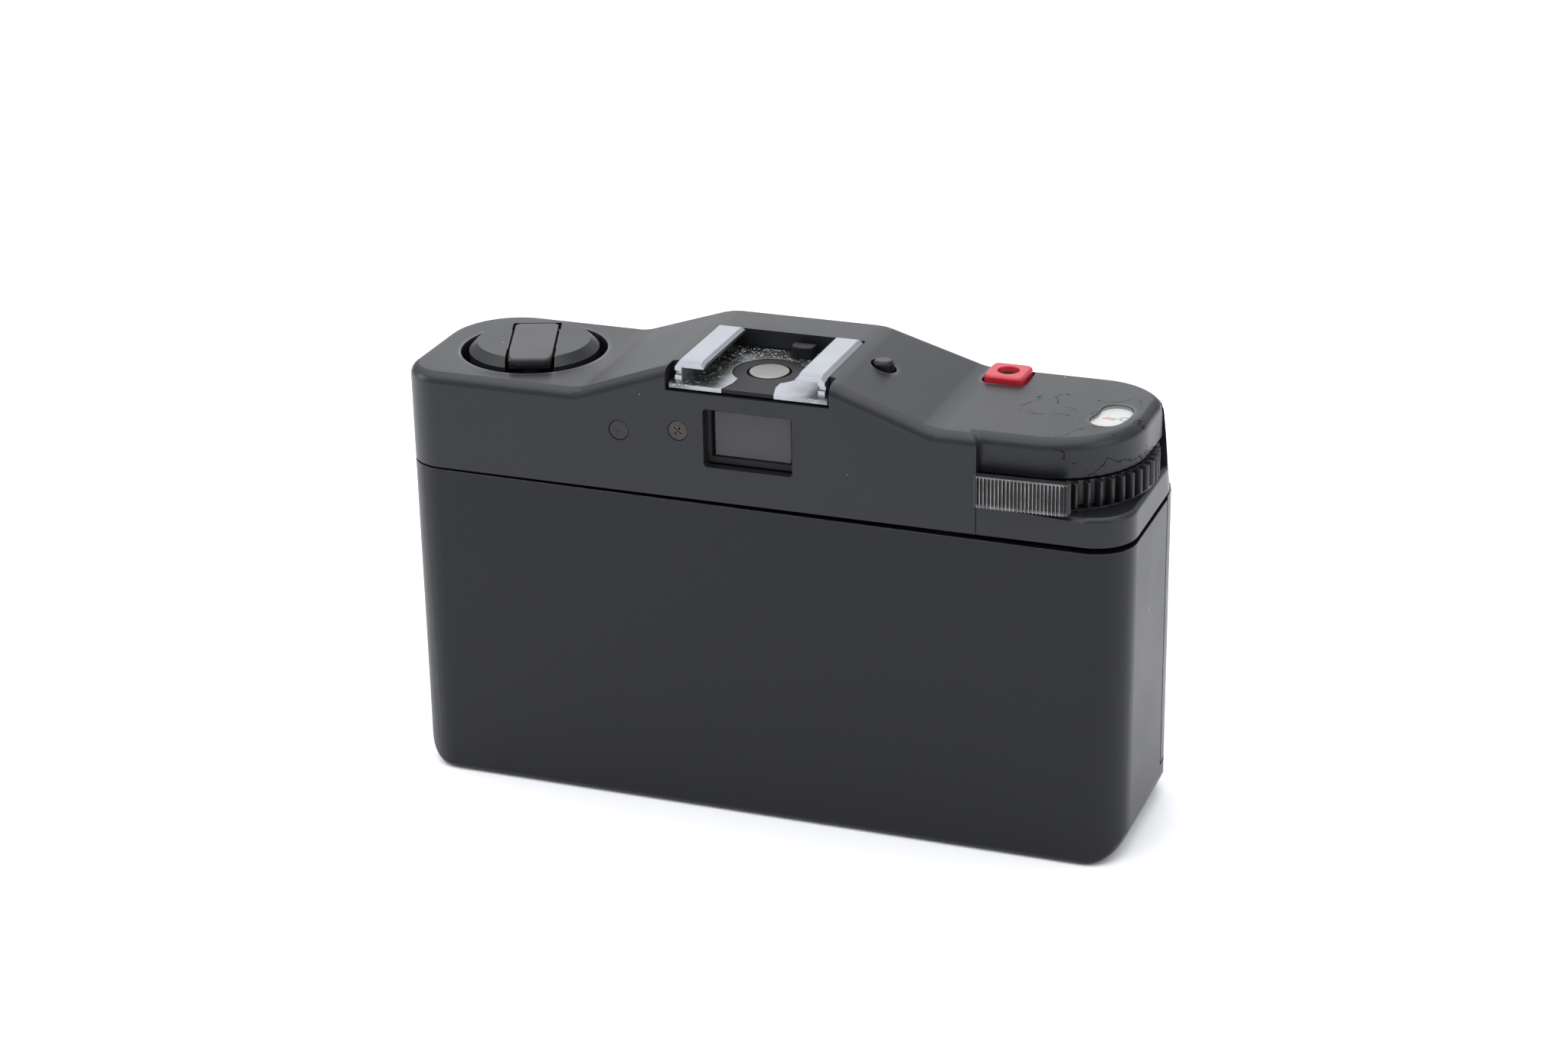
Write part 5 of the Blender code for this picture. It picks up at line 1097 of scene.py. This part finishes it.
knob = drum("rewind_knob_body", KNOB_RADIUS, KNOB_LOW, KNOB_TOP, KNOB_CENTRE, steps=144)
bevel_rim(knob, 1.15, 1, above=KNOB_TOP - 0.01)
shape(knob,
      cuboid("lever_groove", (*by_knob(-GROOVE_HALF, -HINGE_BACK), GROOVE_FLOOR),
             (*by_knob(GROOVE_HALF, 12), KNOB_CLEAR)),
      hinge_drum("tail_room", 1.58, NOTCH_HALF, 64),
      cuboid("tail_mouth", (*by_knob(-NOTCH_HALF, -6.48), HINGE_LEVEL),
             (*by_knob(NOTCH_HALF, -4.7), KNOB_CLEAR)),
      cuboid("stub_notch", (*by_knob(-NOTCH_HALF, 3.9), 55.4), (*by_knob(NOTCH_HALF, 12), KNOB_CLEAR)),
      drum("fork_hole", 2.35, 50, 56.5, KNOB_CENTRE, steps=48))
turn_about_knob(knob)
soften(knob, width=0.16, segments=3, angle=24)
knob_black = coat("knob_black", (0.011, 0.0115, 0.0125), 0.34, gloss=0.3, spread=0.08, grain=0.0000008,
                  dust=0.03, speck=0.05, sides=0.1, cells=560.0, wear_and_highlight_colour=(0.06, 0.06, 0.062),
                  wear_and_highlight_roughness=0.28)
dress(knob, knob_black, "rewind_knob", "rewind_knob")

LEVER_HALF, LEVER_LOW, LEVER_TOP, LEVER_END, LEVER_ROUND = 2.9, 58.45, 59.45, 8.3, 1.1
lever_outline = [(-LEVER_HALF, -5.2), (-LEVER_HALF + 0.5, -5.9), (LEVER_HALF - 0.5, -5.9),
                 (LEVER_HALF, -5.2)]
for start, side in ((0, 1), (90, -1)):
    corner = (side * (LEVER_HALF - LEVER_ROUND), LEVER_END - LEVER_ROUND)
    lever_outline += [on_circle(corner, LEVER_ROUND, start + 15 * k) for k in range(7)]
lever = extrude_outline("fold_out_lever", [by_knob(x, y) for x, y in lever_outline], LEVER_LOW,
                        LEVER_TOP)
shape(lever, cuboid("finger_lip", (*by_knob(-2.75, 7.3), 58.05), (*by_knob(2.75, 8.12), 59.2)),
      operation="UNION")
bevel_edges(lever, lambda edge: middle_of(edge).z > LEVER_TOP - 0.01
            and middle_of(edge).y > KNOB_CENTRE[1] + 7.1 and edge.calc_face_angle() > 1.0, 0.42, 4)
grip = drum("finger_stub", 1.7, 55.7, 58.75, by_knob(0, 6.2), steps=64)
bevel_rim(grip, 0.5, 4, below=55.75)
shape(lever, grip, operation="UNION")
turn_about_knob(lever)
soften(lever, width=0.13, segments=3)
lever_black = coat("lever_black", (0.009, 0.009, 0.01), 0.33, gloss=0.42, tint=0.2, spread=0.1, dust=0.02,
                   speck=0.04, sides=0.1, cells=640.0)
dress(lever, lever_black, "rewind_crank", "rewind_crank")
pin = hinge_drum("lever_pin", 0.3, 3.1, 32)
turn_about_knob(pin)
soften(pin, width=0.05)
dress(pin, lever_black, "rewind_knob", "crank_pin")
dress_cad("rewind_fork", "rewind_spindle", steel, "rewind_knob")
bare_brass = coat("bare_brass", (0.70, 0.52, 0.26), 0.34, metallic=1.0, grain=0.000001)
dress_cad("rewind_collar", "rewind_bearing", bare_brass, "rewind_collar")

# ---- folding front --------------------------------------------------------------------------
# A moulded door that swings down on a steel pin to uncover the lens. Two pressed cams on its inner
# face push the lens out as it opens.
HINGE_ROUND, HINGE_HALF = 2.2, 25.0
GRIP_GROOVES, GRIP_LOW, GRIP_STEP, GRIP_WIDE, GRIP_HALF = 4, 50.8, 1.4, 0.6, 8
door = extrude_outline("front_door", flap_front(0), -25, 15, axis="Y")
shape(door, leaning_slab("door_depth", 0.0, FLAP_THICK), operation="INTERSECT")
bevel_edges(door, lambda edge: middle_of(edge).y < -HALF_DEPTH + 8 and edge.calc_face_angle() > 1.2
            and abs(middle_of(edge).y - lean_y(middle_of(edge).z)) < 0.05, 0.4, 4)
shape(door, drum("hinge_roll", HINGE_ROUND, -HINGE_HALF, HINGE_HALF, (PIVOT_Y, PIVOT_Z), axis="X",
                 steps=64), operation="UNION")
shape(door, drum("pin_bore", 1.0, -40, 40, (PIVOT_Y, PIVOT_Z), axis="X", steps=48))
for number in range(GRIP_GROOVES):
    # finger grooves across the door's upper half
    level = GRIP_LOW + GRIP_STEP * number
    shape(door, cuboid("finger_groove", (EYE_X - GRIP_HALF, -30, level),
                       (EYE_X + GRIP_HALF, lean_y(level + GRIP_WIDE / 2) + 0.28, level + GRIP_WIDE)))
soften(door, width=0.1)
door_paint = coat("door_paint", (0.008, 0.0085, 0.0105), 0.37, gloss=0.38, grain=0.000001, dust=0.012,
                  sides=0.4, wear_and_highlight_colour=(0.05, 0.05, 0.055))
dress(door, door_paint, "front_flap", "front_flap")
for side in ("left", "right"):
    dress_cad(f"flap_cam_{side}", f"door_cam_{side}", steel, "front_flap", width=0.08)
dress_cad("flap_hinge_pin", "door_pin", steel, "root", width=0.1)

# ---- lens -----------------------------------------------------------------------------------
# A black tube that slides in a fixed light sleeve, with ribbed focus and aperture rings, a leaf
# shutter, an iris and coated glass at each end.
LENS_AXIS = (0.0, 25.0)
satin_black = coat("satin_black", (0.014, 0.014, 0.015), 0.4, grain=0.000001, dust=0.01,
                   wear_and_highlight_colour=(0.09, 0.09, 0.09))
dress_cad("light_sleeve", "outer_sleeve", satin_black, "light_sleeve", width=0.1)
dress_cad("lens_carrier", "carrier", satin_black, "lens_carrier", width=0.1)
dress_cad("lens_barrel", "barrel", satin_black, "lens_carrier", width=0.1)


def ribbed_ring(node, name, body, ribs, deep):
    """A lens ring from its CAD copy, with straight ribs standing round its rim."""
    ring = from_cad(node, name, width=0.0)
    low, high = (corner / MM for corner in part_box(node))
    reach = (high[0] - low[0]) / 2
    trim = []
    for rib in range(ribs):
        trim += [on_circle(LENS_AXIS, radius, 360 * (rib + share) / ribs) for share, radius in (
            (0.0, reach), (0.4, reach), (0.5, reach - deep), (0.9, reach - deep))]
    ribs_only = extrude_outline("rib_trim", trim, low[1] - 1, high[1] + 1, axis="Y")
    shape(ring, ribs_only, operation="INTERSECT")
    soften(ring, width=0.06)
    dress(ring, satin_black, body, node)


ribbed_ring("focus_ring", "ribbed_focus_ring", "focus_ring", 72, 0.35)
ribbed_ring("aperture_ring", "ribbed_aperture_ring", "aperture_ring", 90, 0.3)
blade_grey = coat("blade_grey", (0.09, 0.09, 0.095), 0.35, metallic=0.6, tint=0.2)
dress_cad("shutter_unit", "leaf_shutter", blade_grey, "lens_carrier", width=0.06)
dress_cad("iris_plate", "iris", blade_grey, "lens_carrier", width=0.0)
coated_glass = glass("coated_glass", (0.055, 0.04, 0.10), 0.5)
dress_cad("front_element", "front_lens", coated_glass, "lens_carrier", width=0.05, smooth=60)
dress_cad("rear_element", "rear_lens", coated_glass, "lens_carrier", width=0.05, smooth=60)

# ---- film mechanism -------------------------------------------------------------------------
# Behind the lens: a moulded chassis with the film gate, rollers and rooms, the sprung pressure plate
# on the back, and the geared spool and sprocket.
chassis_black = coat("chassis_black", (0.013, 0.013, 0.014), 0.5, grain=0.000002,
                     grain_size=2400.0, dust=0.01)
dress_cad("chassis", "film_chassis", chassis_black, "root", width=0.1)
dress_cad("pressure_plate", "film_pressure_plate", satin_black, "back_cover", width=0.15)
dress_cad("pressure_spring", "plate_spring", steel, "back_cover", width=0.05)
dress_cad("take_up_spool", "film_spool", satin_black, "take_up_spool")
sprocket_white = coat("sprocket_white", (0.7, 0.69, 0.65), 0.4, tint=0.05, grain=0.000001)
dress_cad("film_sprocket", "toothed_sprocket", sprocket_white, "film_sprocket", width=0.06)
dress_cad("sprocket_gear", "gear_on_sprocket", bare_brass, "film_sprocket", width=0.03)
dress_cad("drive_gear", "gear_on_wheel", bare_brass, "advance_wheel", width=0.03)
dress_cad("mechanism_plate", "counter_bearing_plate", steel, "root", width=0.08)
board_green = coat("board_green", (0.02, 0.16, 0.06), 0.4, tint=0.15, grain=0.000001)
dress_cad("meter_board", "meter_circuit_board", board_green, "root", width=0.05)

# ---- base fittings and battery --------------------------------------------------------------
# A threaded tripod bush, the turning key that locks the back, and a button cell under its cap.
dress_cad("tripod_bush", "tripod_socket", steel, "back_cover")
dress_cad("base_lock_key", "back_lock_key", lever_black, "base_lock_key")
dress_cad("battery_cap", "cell_cap", satin_black, "battery_cap")
nickel = coat("nickel", (0.62, 0.6, 0.56), 0.28, metallic=1.0, tint=0.06, grain=0.0000005)
dress_cad("battery", "button_cells", nickel, "root", width=0.25)
